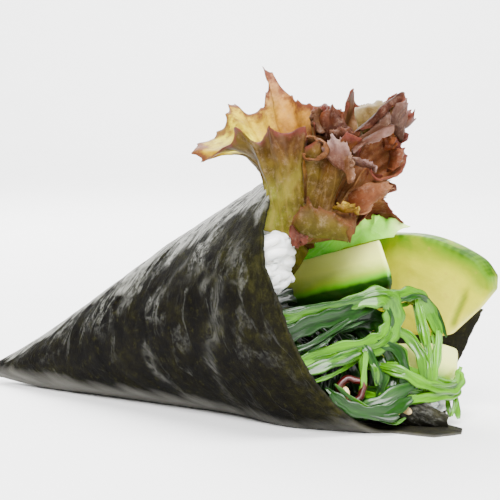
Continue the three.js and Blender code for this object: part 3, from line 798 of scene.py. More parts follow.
@dataclass(frozen=True)
class CucumberFinish:
    """Wet cucumber flesh that turns green below its dark skin, with painted shade towards the end hidden in
    the roll.
    """

    name: str
    flesh: Colour = (0.87, 0.94, 0.2)
    under: Colour = (0.34, 0.5, 0.035)
    line: Colour = (0.1, 0.38, 0.003)
    skin: Colour = (0.006, 0.04, 0.001)
    core: Colour = (0.93, 0.97, 0.3)
    # painted shade: the flesh is darkened towards the baton's hidden end, where shade falls inside the roll
    shade: Colour = (0.34, 0.34, 0.03)
    painted_shade_strength: float = 0.9

    def material(self) -> Material:
        """Builds the nodes.

        Returns:
            The material.
        """
        paint = Painter(self.name, 0.35, 0.25)
        wander = paint.maths("ADD", paint.value("skin"), paint.clouds(4, 2, 0.5, 0.3, 0.7, -0.02, 0.02))
        tinted = paint.ramp(wander, (
            (0.0, self.core), (0.46, self.flesh), (0.72, self.under), (0.83, self.line), (0.9, self.skin),
        ))
        streaks = paint.noise(1.2, 3, 0.5, paint.stretched((0.25, 1, 1)))
        pith = paint.scalar(wander, 0.6, 0.75, 1.0, 0.1)
        pale = paint.maths("MULTIPLY", paint.scalar(streaks, 0.5, 0.75, 0.0, 0.25), pith)
        streaked = paint.mix(pale, tinted, self.core)
        # painted shade, stronger towards the hidden end
        inward = paint.scalar(paint.value("inward"), 0.14, 0.5, 0.0, self.painted_shade_strength)
        paint.colour(paint.mix(inward, streaked, self.shade, Blend.STAIN_AND_SHADE))
        paint.flesh(0.12, 1.5, (1.0, 0.9, 0.4))
        paint.wet(0.1, 0.2)
        paint.bump(paint.noise(0.9, 3, 0.5), 0.06, 0.7)
        return paint.material


@dataclass(frozen=True)
class AvocadoFinish:
    """Buttery flesh, greener towards the rim that was under the skin, with painted shade in the crease of
    its face.
    """

    edge: Colour = (0.022, 0.075, 0.0001)
    rim: Colour = (0.095, 0.21, 0.0001)
    green: Colour = (0.21, 0.28, 0.0002)
    yellow: Colour = (0.5, 0.49, 0.008)
    heart: Colour = (0.61, 0.56, 0.035)
    olive: Colour = (0.38, 0.38, 0.006)
    # painted shade: the dark green in the crease of the face
    crease: Colour = (0.1, 0.17, 0.004)
    bruise: Colour = (0.45, 0.27, 0.05)

    def material(self) -> Material:
        """Builds the nodes.

        Returns:
            The material.
        """
        paint = Painter("avocado", 0.45, 0.12)
        wander = paint.maths("ADD", paint.value("depth"), paint.clouds(6, 3, 0.5, 0.3, 0.7, -0.05, 0.05))
        tinted = paint.ramp(wander, (
            (0.0, self.edge), (0.08, self.rim), (0.22, self.green), (0.42, self.yellow), (0.85, self.heart),
        ))
        clouds = paint.scalar(paint.noise(9, 4, 0.6, warp=0.6), 0.45, 0.62, 0.0, 0.6)
        clouded = paint.mix(clouds, tinted, self.olive)
        spotted = paint.mix(paint.clouds(3.2, 2, 0.5, 0.66, 0.74, 0.0, 0.35), clouded, self.bruise)
        # painted shade along the crease
        crease = paint.scalar(paint.value("crease"), 0.1, 0.9, 0.0, 0.75)
        paint.colour(paint.mix(crease, spotted, self.crease))
        paint.flesh(0.12, 1.5, (1.0, 0.8, 0.3))
        paint.bump(paint.noise(3.5, 4, 0.5), 0.6, 0.6)
        paint.bump(paint.noise(0.6, 2, 0.5), 0.05, 0.5)
        return paint.material


@dataclass(frozen=True)
class SeaweedFinish:
    """Wet, glossy, half clear strands of green seaweed."""

    # the darkest stop, which the core and the deep strands take as painted shade
    dark: Colour = (0.001, 0.007, 0.0003)
    deep: Colour = (0.003, 0.022, 0.0004)
    green: Colour = (0.006, 0.045, 0.0003)
    light: Colour = (0.085, 0.27, 0.002)

    def material(self) -> Material:
        """Builds the nodes.

        Returns:
            The material.
        """
        paint = Painter("wakame", 0.35, 0.2)
        lengthwise = paint.held_place({"run": 0.16, "beside": 1.4, "shade": 30.0})
        streaks = paint.noise(1 / MM, 4, 0.6, lengthwise)
        wander = paint.maths("ADD", paint.value("shade"), paint.scalar(streaks, 0.3, 0.7, -0.2, 0.2))
        tinted = paint.ramp(wander, (
            (0.0, self.dark), (0.14, self.deep), (0.45, self.green), (0.9, self.light),
        ))
        edge = paint.scalar(paint.value("edge"), 0.7, 1.0, 0.0, 0.5)
        paint.colour(paint.mix(edge, tinted, self.deep))
        paint.flesh(0.1, 0.8, (0.5, 1.0, 0.2))
        paint.wet(0.32, 0.07)
        paint.bump(streaks, 0.3, 0.7)
        return paint.material


@dataclass(frozen=True)
class PlainFinish:
    """A finish of two mottled colours, for the smaller things.

    Attributes:
        name: Of the material.
        first: The commoner colour.
        second: The rarer colour.
        roughness: Of the surface.
        glow: How much light goes into it.
        film: How wet it is.
        size: Of the mottling, in millimetres.
    """

    name: str
    first: Colour
    second: Colour
    roughness: float = 0.4
    glow: float = 0.2
    film: float = 0.0
    size: float = 2.0

    def material(self) -> Material:
        """Builds the nodes.

        Returns:
            The material.
        """
        paint = Painter(self.name, self.roughness)
        patches = paint.clouds(self.size, 3, 0.5, 0.42, 0.66, 0.0, 1.0)
        paint.colour(paint.mix(patches, self.first, self.second))
        paint.flesh(self.glow, 1.5, (1.0, 0.85, 0.7))
        paint.wet(self.film, 0.12)
        paint.bump(paint.noise(0.4 * self.size, 3, 0.5), 0.08, 0.5)
        return paint.material


# ---- The wrap ----


@dataclass(frozen=True)
class BroadDent:
    """A broad dent in the cone.

    Attributes:
        slant: Slant length of its middle.
        turn: Degrees of its middle round from the top.
        depth: How far it stands out, or in where negative.
        reach: Its size along the slant.
        spread: Its size round the cone, in degrees.
    """

    slant: float
    turn: float
    depth: float
    reach: float
    spread: float

    def at(self, slant: Array, turn: Array) -> Array:
        """How far the dent moves the sheet.

        Args:
            slant: Distance from the apex along the side.
            turn: Degrees round from the top.

        Returns:
            Outwards, in millimetres.
        """
        beside = (turn - self.turn + 180) % 360 - 180
        away = np.hypot((slant - self.slant) / self.reach, beside / self.spread)
        return self.depth * np.exp(-away * away)


@dataclass
class NoriWrap:
    """The cone of seaweed sheet with its ragged rim, seam and creases.

    Attributes:
        rim: Slant length of the rim by degrees after the seam.
        sheet: Thickness of the seaweed.
        tip_slant: Slant length at which the tip is closed.
        tip_nose: How far the closed tip bulges.
        seam_turn: Degrees round to the seam at the rim.
        seam_drift: Degrees that the seam winds on towards the tip.
        seam_step: Degrees between the sheet's two ends.
        lap: How far the outer end lies over the inner one.
        ripple: Height of the long waves.
        sag: The dent where the sheet sags.
        pinch: The dent where it is pinched.
        crease: Height of the creases that show.
        shear: How far the creases lean along the cone.
        top_turn: Degrees round to the middle of the glossy band on top, which is also painted in as a
            highlight.
        top_reach: Degrees that the painted highlight band reaches either way.
        under_height: Height above the table of the top of the painted reflection of the table along the
            underside.
        far_side: How much sooner the painted highlight band on top ends on the far side.
        streaks: Half width of each broad grey streak, a painted highlight, and its places by slant length
            and turn.
        streak_share: How strongly the painted highlight streaks show.
        columns: Number of points round the cone.
        rows: Number of points along its outer face.
        inner_rows: Number of points along its inner face.
        nose_rows: Number of rings that close the tip.
        curl_foot: Where the sheet's start leaves the cone.
        curl_bend: The line that it bends by.
        curl_edge: Its edge.
    """

    rim: tuple[Flat, ...] = (
        (0, 127.3), (11, 129.6), (17, 127.5), (23, 120.6), (42, 117.2), (67, 115.2), (81, 118), (90, 121),
        (106, 101), (149, 97), (199, 103), (236, 106.2), (252, 107), (266, 107.6), (274, 108.3),
        (282, 109.8), (290, 111.1), (324, 112), (343, 113.7), (353, 115), (358.5, 117.7),
    )
    sheet: float = 0.6
    tip_slant: float = 7.0
    tip_nose: float = 1.6
    seam_turn: float = 161.0
    seam_drift: float = 42.0
    seam_step: float = 1.5
    lap: float = 0.45
    ripple: float = 0.22
    sag: BroadDent = BroadDent(98, 150, 2.8, 13, 20)
    pinch: BroadDent = BroadDent(118, 16, -2.3, 22, 40)
    crease: float = 0.38
    shear: float = 20.0
    top_turn: float = 14.0
    top_reach: float = 31.0
    under_height: float = 4.6
    far_side: float = 2.2
    streaks: tuple[tuple[float, tuple[Flat, ...]], ...] = (
        (1.3, ((94, 75), (92.5, 84), (91, 92), (86.5, 102), (85, 117), (84.5, 127))),
        (1.0, ((65.5, 97), (65.5, 112), (67, 122), (70, 135))),
        (0.8, ((81.5, 75), (83, 68), (88, 62), (92.5, 57))),
        (0.9, ((68.5, 75), (75, 67), (80.5, 58), (86.5, 54))),
        (0.7, ((89, 76), (91.5, 72), (97.5, 67), (101.5, 62))),
        (0.9, ((58, 66), (62, 57), (68, 50), (74, 43))),
    )
    streak_share: float = 0.24
    columns: int = 360
    rows: int = 190
    inner_rows: int = 36
    nose_rows: int = 8
    curl_foot: Line = ((-4, 6, -26.9), (7, 4, -29.4), (16.5, 1, -31.9))
    curl_bend: Line = ((-4, 7, -24.5), (7, 8, -27), (17, 2.5, -30.9))
    curl_edge: Line = ((-4, 4, -21.5), (8, 5.5, -24.8), (14, 3.6, -26.6), (17, 0.6, -30))

    def dents(self, slant: Array, turn: Array) -> Array:
        """How far the sheet is dented outwards or inwards."""
        around = np.radians(turn)
        wave = np.sin(3 * around + slant / 22) * np.sin(slant / 14 + 2 * around)
        return self.ripple * wave + self.sag.at(slant, turn) + self.pinch.at(slant, turn)

    def on_painted_streaks(self, slant: Array, turn: Array, stray: Array) -> Array:
        """Finds the broad grey streaks, which are painted highlights.

        Args:
            slant: Distance from the apex along the side.
            turn: Degrees round from the top.
            stray: How far their edges wander.

        Returns:
            From 0 off the streaks to 1 on them.
        """
        most = 0 * slant
        for width, line in self.streaks:
            path = smooth_line(line, np.linspace(0, 1, 40))
            along = slant[..., None] - path[:, 0]
            beside = np.radians((turn[..., None] - path[:, 1] + 180) % 360 - 180)
            around = cos_sin(ROLL.half_angle)[1] * slant[..., None] * beside
            away = np.hypot(along, around).min(axis=-1) + stray
            most = np.maximum(most, np.exp(-((away / width) ** 2)))
        return most

    def creases(self, slant: Array, turn: Array) -> tuple[Array, dict[str, Array]]:
        """The fine creases, which run round the cone at a slant.

        Args:
            slant: Distance from the apex along the side.
            turn: Degrees round from the top.

        Returns:
            Their height, and what the finish reads: the place among the creases, how much they gloss and
                how far each point is on the painted highlight band on top and on the painted reflection of
                the table underneath.
        """
        around = np.radians(turn)
        radius = slant * cos_sin(ROLL.half_angle)[1]
        sheared = slant + self.shear * np.sin(around)
        circle = np.stack([radius * np.cos(around), radius * np.sin(around)], axis=-1)

        def place(length: float, width: float) -> Array:
            """Places for creases of a length round the cone and a spacing along it."""
            return np.concatenate([sheared[..., None] / width, circle / length], axis=-1)

        patches = Relief(5)
        warp = 0.7 * patches.layered(place(11, 8), 3)[..., None]
        ridges = Relief(3).ridges(place(24, 12) + warp, 9) + 0.5 * Relief(9).ridges(place(13, 6) + warp, 8)
        apart = (turn - self.top_turn + 180) % 360 - 180
        beside = np.abs(apart)
        patchy = np.clip(0.6 + 2.4 * patches.plain(place(16, 11) + 3), 0, 1)
        gloss = np.clip(1.6 - beside / 55, 0.14, 1) * patchy
        finer = np.clip(1.6 - beside / 40 + 1.5 * patches.plain(place(12, 8) + 13), 0, 1)
        rumple = Relief(17).layered(place(9, 5), 4)
        height = ROLL.height(ROLL.on_cone(slant, turn, 0.0))
        flat = np.clip((height - 0.5) / 6, 0, 1)
        # painted highlight band along the top; the broad streaks below are painted highlights too
        wander = 40 * patches.layered(place(15, 8) + 5, 3)
        reach = self.top_reach + np.clip((slant - 88) / 2, 0, 8)
        from_ridge = np.where(apart < 0, self.far_side * beside, beside)
        top = np.clip((reach + wander - from_ridge) / 9, 0, 1)
        streaks = self.on_painted_streaks(slant, turn, 2.4 * rumple)
        streaks *= self.streak_share * np.clip(0.7 + patches.plain(place(5, 3)), 0, 1)
        # painted reflection of the table, along the underside where the sheet nears it
        under = np.clip((self.under_height - height + 1.6 * rumple) / 2.8, 0, 1)
        reads = {
            "along": sheared + 8 * warp[..., 0], "east": circle[..., 0], "north": circle[..., 1],
            "gloss": gloss, "finer": finer, "painted_sheen_band": np.maximum(top, streaks), "under": 0.8 * under,
        }
        return self.crease * (0.7 * ridges * gloss + 0.5 * rumple) * (0.15 + 0.85 * flat), reads

    def rim_slant(self, after_seam: Array) -> Array:
        """The ragged rim.

        Args:
            after_seam: Degrees round from the seam.

        Returns:
            Slant lengths.
        """
        turns, slants = zip(*self.rim)
        around = np.radians(after_seam)
        circle = np.stack([np.cos(around), np.sin(around), 0 * around], axis=-1)
        ragged = 0.5 * Relief(21).layered(circle * 22, 4) + 0.7 * Relief(22).plain(circle * 7)
        return np.interp(after_seam, turns, slants) - np.abs(ragged)

    def side(self, outside: bool) -> tuple[Array, dict[str, Array]]:
        """One face of the cone, from its nose to its rim.

        Args:
            outside: Whether it is the outer face.

        Returns:
            The grid of roll coordinates and what the finish reads at each point.
        """
        after = np.linspace(0, 360 - self.seam_step, self.columns)
        share, after_seam = grid(np.linspace(0, 1, self.rows if outside else self.inner_rows), after)
        start = self.tip_slant if outside else self.tip_slant + 4 * self.sheet
        slant = start + share * (self.rim_slant(after_seam) - start)
        turn = self.seam_turn + self.seam_step + after_seam + self.seam_drift * (1 - share)
        lap = self.lap * after_seam / 360 * share
        height, reads = self.creases(slant, turn)
        lift = self.dents(slant, turn) + height * np.clip(3 * share, 0, 1)
        depth = (-lap if outside else self.sheet) - lift
        face = ROLL.settle(ROLL.on_cone(slant, turn, depth), 0.0 if outside else self.sheet)
        if not outside:
            reads |= dict.fromkeys(("gloss", "finer", "painted_sheen_band"), 0 * slant)
            # a thin painted sheen over the inner face
            reads["under"] = np.full_like(slant, 0.07)
        return face, reads | {"rim": np.exp(-(self.rim_slant(after_seam) - slant) / 9)}

    def nose(self, ring: Array, reach: float) -> Array:
        """Closes the tip.

        Args:
            ring: The cone's first ring.
            reach: How far the closed tip bulges.

        Returns:
            The rings from the tip up to that one.
        """
        bend = np.linspace(0, 0.5 * math.pi, self.nose_rows + 1)[1:, None, None]
        centre = ring.mean(axis=0)
        rings = centre + np.cos(bend) * (ring[None] - centre)
        rings[..., 0] -= reach * np.sin(bend)[..., 0]
        return rings[::-1]

    def build(self, finish: NoriFinish) -> Object:
        """Makes the wrap.

        Args:
            finish: Of the seaweed sheet.

        Returns:
            The piece.
        """
        outer, outer_reads = self.side(True)
        inner, inner_reads = self.side(False)
        outer = np.concatenate([self.nose(outer[0], self.tip_nose), outer])
        inner = np.concatenate([self.nose(inner[0], self.tip_nose), inner])
        whole = np.concatenate([ROLL.settle(outer, 0.0), inner[::-1]])

        def padded(name: str) -> Array:
            """What the finish reads, from the outer nose round to the inner one."""
            first, last = outer_reads[name], inner_reads[name]
            start, end = (np.tile(side[0], (self.nose_rows, 1)) for side in (first, last))
            return np.concatenate([start, first, last[::-1], end])

        draft = Draft()
        faces = grid_faces(len(whole), self.columns, closed=True).tolist()
        draft.add(whole, faces, **{name: padded(name) for name in outer_reads})
        self.add_curl(draft)
        return draft.piece("nori_sheet", [finish.material()], "nori_wrap")

    def add_curl(self, draft: Draft) -> None:
        """Adds the start of the sheet, which stands up inside the mouth.

        Args:
            draft: The wrap's mesh.
        """
        out, across = share_grid(40, 90)
        surface = three_line_surface((self.curl_foot, self.curl_bend, self.curl_edge), across, out)
        surface += 0.6 * Relief(31).layered(surface / 4, 3)[..., None] * np.array([0.3, 1, 0.6])
        surface = ROLL.settle(surface, self.sheet)
        along, near, up = np.moveaxis(surface, -1, 0)
        # the curl takes the painted crease highlights where it glosses and a thin painted sheen
        draft.add_sheet(
            surface, 1.1 * self.sheet, rim=0.4 + 0.5 * out, gloss=0.5, finer=0.8, under=0.06,
            along=along + up, east=near, north=up,
        )


def three_line_surface(lines: Sequence[Line], across: Array, out: Array) -> Array:
    """Points of a surface that leaves one line, bends by a second and ends at a third.

    Args:
        lines: The three lines.
        across: Share along them.
        out: Share of the way from the first to the third.

    Returns:
        Roll coordinates.
    """
    first, second, third = (smooth_line(line, across) for line in lines)
    rest = out[..., None]
    return first * (1 - rest) ** 2 + 2 * second * rest * (1 - rest) + third * rest**2


# ---- The leaves ----


@dataclass(frozen=True)
class Lobe:
    """One lobe of a frilly leaf: three lines from its base to its margin.

    Attributes:
        base: Where the lobe leaves the rib.
        middle: The line that it bends by.
        margin: Its outer edge.
        waves: Number of frills across it.
        frill: Their height.
        ruffle: How strongly it is crinkled.
        teeth: How deeply its margin is toothed.
        rib: Its midrib, as pairs of share out and share across.
        rib_width: Half the midrib's width, as a share across.
        tint: Its own tints at its base and margin, if it doesn't have the leaf's.
        pinch: How far its margin is drawn in to its base at both ends.
        cells: Number of points across and out.
    """

    base: Line
    middle: Line
    margin: Line
    waves: int
    frill: float
    ruffle: float = 1.0
    teeth: float = 0.03
    rib: tuple[Flat, ...] = ()
    rib_width: float = 0.11
    tint: tuple[Colour, Colour] | None = None
    pinch: float = 0.0
    cells: tuple[int, int] = (100, 30)

    def add_to(self, draft: Draft, thickness: float, tints: Tints, seed: int) -> None:
        """Adds the lobe as a thin wavy sheet.

        Args:
            draft: The leaf's mesh.
            thickness: Of the leaf at its base.
            tints: Of the leaf.
            seed: Picks its small crinkles.
        """
        out, across = share_grid(self.cells[1], self.cells[0])
        flow = Relief(seed)
        place = np.stack([across * self.waves, 0 * out, 0 * out], axis=-1)
        phase = 2 * math.pi * (across * self.waves + 0.9 * flow.plain(place * 0.9 + 5))
        spikes = (1 - np.abs(np.sin(1.5 * phase))) ** 2
        reach = out * (4 * across * (1 - across)) ** self.pinch
        reach *= 1 + self.teeth * (spikes - 0.3) * out**8
        surface = three_line_surface((self.base, self.middle, self.margin), across, reach)
        surface[..., 1] -= self.frill * out**2 * np.sin(phase + 2.4 * out)
        surface[..., 0] += 0.4 * self.frill * out**2 * np.cos(1.3 * phase + 1)
        normal = sheet_normal(surface)
        crumple = 0.3 - np.abs(Relief(seed + 1).layered(surface / 10 + 3, 2))
        blisters = 0.3 - np.abs(Relief(seed + 4).layered(surface / 4.2, 2))
        rib = self.rib_at(across, out)
        ruffles = (0.25 + 0.75 * np.sqrt(out)) * (2.6 * crumple + 0.9 * blisters) + 0.5 * rib
        surface += (self.ruffle * ruffles)[..., None] * normal
        marked, veined = (1.0, 1.0) if self.tint is None else (0.8, 0.4)
        draft.add_sheet(
            surface, thickness * (1 - 0.5 * out), out=marked * out, rib=rib,
            vein=veined * self.veins(across, out, seed), **self.tint_at(surface, out, tints),
        )

    def tint_at(self, surface: Array, out: Array, tints: Tints) -> dict[str, Array]:
        """The tint at each point.

        Args:
            surface: Roll coordinates.
            out: Share out of each point.
            tints: Of the leaf.

        Returns:
            Its red, green and blue.
        """
        if self.tint is None:
            return tints.at(surface)
        inner, outer = (np.array(colour) for colour in self.tint)
        return as_tint(inner + (0.4 * out + 0.6 * out**4)[..., None] * (outer - inner))

    def rib_at(self, across: Array, out: Array) -> Array:
        """How far each point is on the rib.

        Args:
            across: Share across of each point.
            out: Share out of each point.

        Returns:
            From 0 to 1.
        """
        if not self.rib:
            return 0 * out
        outs, places = zip(*self.rib)
        away = (across - np.interp(out, outs, places)) / self.rib_width
        return np.exp(-(away**4)) * np.clip(4 * (outs[-1] - out), 0, 1)

    def veins(self, across: Array, out: Array, seed: int) -> Array:
        """How far each point is on a vein.

        Args:
            across: Share across of each point.
            out: Share out of each point.
            seed: Picks the veins.

        Returns:
            From 0 to 1.
        """
        fan = (across - 0.5) * (0.35 + 0.65 * out)
        place = np.stack([fan * 9, out * 2.4, np.full_like(out, seed)], axis=-1)
        branches = Relief(seed + 2).ridges(place, 16)
        fine = Relief(seed + 3).ridges(place * 2.7, 13)
        return np.clip(branches + 0.5 * fine, 0, 1) * (1 - 0.5 * out)


def small_fold(base: Line, middle: Line, margin: Line, inner: Colour, outer: Colour) -> Lobe:
    """A small fold that stands out of a lobe.

    Args:
        base: Where it leaves the lobe.
        middle: The line that it bends by.
        margin: Its outer edge.
        inner: Its tint at the foot, of 0 to 255, darker than the margin partly as painted shade where the
            fold leaves the lobe.
        outer: Its tint at the margin.

    Returns:
        The fold.
    """
    tint = (tone(*inner), tone(*outer))
    pinch = 0.0 if base[0] == base[-1] else 0.3
    return Lobe(base, middle, margin, 3, 0.35, 0.9, 0.14, tint=tint, pinch=pinch, cells=(80, 24))


@dataclass
class FrillyLeaf:
    """A frilly leaf of several lobes on a rib.

    Attributes:
        name: Of the piece.
        node: The solid that it stands for.
        record_slot: The record's material slot of its finish; not used.
        lobes: Its lobes, from the back to the front.
        tints: Of the leaf.
        bars: Its ribs, each a path, a width and a depth.
        thickness: Of the leaf.
    """

    name: str
    node: str
    record_slot: str
    lobes: tuple[Lobe, ...]
    tints: Tints
    bars: tuple[tuple[Line, float, float], ...] = ()
    thickness: float = 0.5

    def build(self, finish: LeafFinish) -> Object:
        """Makes the leaf.

        Args:
            finish: Of the leaf.

        Returns:
            The piece.
        """
        draft = Draft()
        for index, lobe in enumerate(self.lobes):
            lobe.add_to(draft, self.thickness, self.tints, 40 + 6 * index)
        for path, wide, deep in self.bars:
            line = smooth_line(path, np.linspace(0, 1, 30))

            def outline(angle: Array, share: Array) -> tuple[Array, Array]:
                """The rib's section, thinner towards its end."""
                thin = 1 - 0.7 * share
                return bar_section(angle, wide * thin, deep * thin, 0.8)

            rings, _, _ = swept(line, np.array([0.56, 0.82, 0.0]), outline, 16)
            draft.add_tube(rings, **self.tints.at(rings))
        return draft.piece(self.name, [finish.material()], self.node)


LETTUCE_LOBES = (
    Lobe(  # the long lobe at the back, with its high spike
        base=((-6, 17, 14.8), (-5.2, 11, 13.4), (-3.7, 8, 12.6), (-1.8, 4, 12.4)),
        middle=(
            (1.4, 15, 34.4), (-1.5, 11, 31.4), (-6, 7, 29), (-6.2, 3, 31), (-2.7, 3, 28.5), (1.8, 4, 25.9),
        ),
        margin=(
            (-21.6, 11, 32.7), (-24.2, 8, 36.4), (-18.4, 5, 39.4), (-17.2, 2, 44.1), (-14.8, 0, 40.9),
            (-10.8, -1, 42.2), (-10.4, -3, 50.1), (-6.5, -2, 44), (-1.2, 0, 39.9), (7.1, 3, 37.2),
        ),
        waves=5, frill=0.6, ruffle=0.7, cells=(160, 40),
    ),
    Lobe(  # its near side, folded up in front
        base=((-3, 21.5, 14.4), (-1.6, 20, 13.3), (1.5, 19.5, 12), (3.9, 18.5, 11.8)),
        middle=((1.4, 15, 34.4), (0.6, 19, 27.4), (4.6, 20, 24.4), (6.4, 18, 23.3)),
        margin=(
            (-21.6, 11, 32.7), (-9.5, 17, 33.4), (-6.1, 19, 36.3), (-2.7, 17, 32.5),
            (2.4, 20, 34.4), (4.4, 18, 32.4), (10.5, 19, 32.1), (7.3, 16, 27.7),
        ),
        waves=4, frill=0.3, ruffle=0.6, teeth=0,
        rib=((0, 0.1), (0.25, 0.5), (0.5, 0.8), (0.75, 1)), cells=(140, 40),
    ),
    Lobe(  # the curled lobe at the upper right
        base=((-2.7, 9.5, 12.5), (0.3, 6, 11.8), (3.2, 2, 10.5)),
        middle=((4.6, 9, 23.9), (4.9, 4, 24.5), (6.3, -1, 24.6)),
        margin=(
            (8.2, 13, 33), (5.5, 5, 37.2), (6.5, 0, 36.3), (11.4, 4, 35.5), (12.1, 0, 39.5),
            (10.5, -4, 36.4), (19.7, 2, 34.7), (20.2, -4, 35.8),
        ),
        waves=4, frill=0.7, ruffle=0.8, cells=(120, 36),
    ),
    Lobe(  # the lobe at its right end
        base=((-0.1, 6, 11.9), (1.3, 3, 11.6), (2.9, 0, 11.7)),
        middle=((10.8, 6, 23.1), (10.4, 2, 23.7), (9.6, -1, 22.3)),
        margin=(
            (20.6, 5, 33.1), (20.8, -3, 35.7), (23.7, 1, 31.8), (26.7, 4, 30.3), (20.5, -3, 28.2),
            (20.7, 2, 25.8),
        ),
        waves=3, frill=0.7, ruffle=0.8,
    ),
    Lobe(  # the pale fold in the middle
        base=((2.9, 17, 11.9), (5, 15.5, 11.3), (7, 13.5, 10.8)),
        middle=((7.9, 17, 22.2), (10.3, 16, 21.6), (11.3, 13, 20.8)),
        margin=(
            (7.3, 18, 28.2), (12.3, 17, 29.3), (11.6, 14, 27), (17.1, 16, 29.1), (18.1, 12, 27.1),
            (15, 10, 23.9), (11.4, 10, 21.9),
        ),
        waves=2, frill=0.5, ruffle=0.7,
    ),
    Lobe(  # the loops at the right
        base=((4.7, 11.5, 12), (6.3, 9, 11.9), (7.5, 6, 12.7)),
        middle=((12, 9, 22.1), (12.8, 7, 20.6), (13.1, 5, 19.2)),
        margin=(
            (19.3, 9, 29.4), (20.7, 7, 27.6), (21.9, 4, 25.5), (21, 1, 22.6), (21.2, 6, 20),
            (19.1, 9, 19.6), (18.6, 11, 22.3),
        ),
        waves=3, frill=0.6, ruffle=0.8,
    ),
    Lobe(  # the lobe below them
        base=((5.8, 13.5, 11), (7.8, 11, 10.8), (8.5, 7, 11.9)),
        middle=((10.9, 11, 17.8), (11.9, 9, 16.4), (10.5, 5, 15.4)),
        margin=(
            (16.9, 10, 21.8), (16.4, 5, 20), (18.6, 3, 17.3), (17.5, 7, 15.5), (13.6, 4, 15.5),
            (12.1, 7, 12.9), (9.5, 9, 11.6),
        ),
        waves=3, frill=0.5, ruffle=0.8,
    ),
    Lobe(  # the end of the leaf that droops behind the green one
        base=((2.4, 3, 11.2), (3.2, 0, 10.8)),
        middle=((9, 2, 17.4), (8, -3, 14.6)),
        margin=((14.6, 2.5, 15.8), (12.6, -1.5, 14.4), (12.7, -4, 12.2), (12.4, -6.6, 10.4)),
        waves=2, frill=0.3, ruffle=0.3, cells=(90, 30),
    ),
    Lobe(  # the low fold over the front cucumber
        base=((-0.1, 11, 18.3), (3.2, 9, 16.8), (6.6, 5, 16.2), (5.4, 1, 14.6)),
        middle=((4.3, 20, 15.9), (9.8, 20, 14.4), (12.9, 15, 13.8), (11.5, 8, 13.9)),
        margin=(
            (1.2, 18, 9.3), (3.6, 17, 10.2), (7.3, 15, 10.8), (9.6, 12, 10), (9.3, 8, 12.2), (8, 3, 14.4),
        ),
        waves=3, frill=0.6,
    ),
)
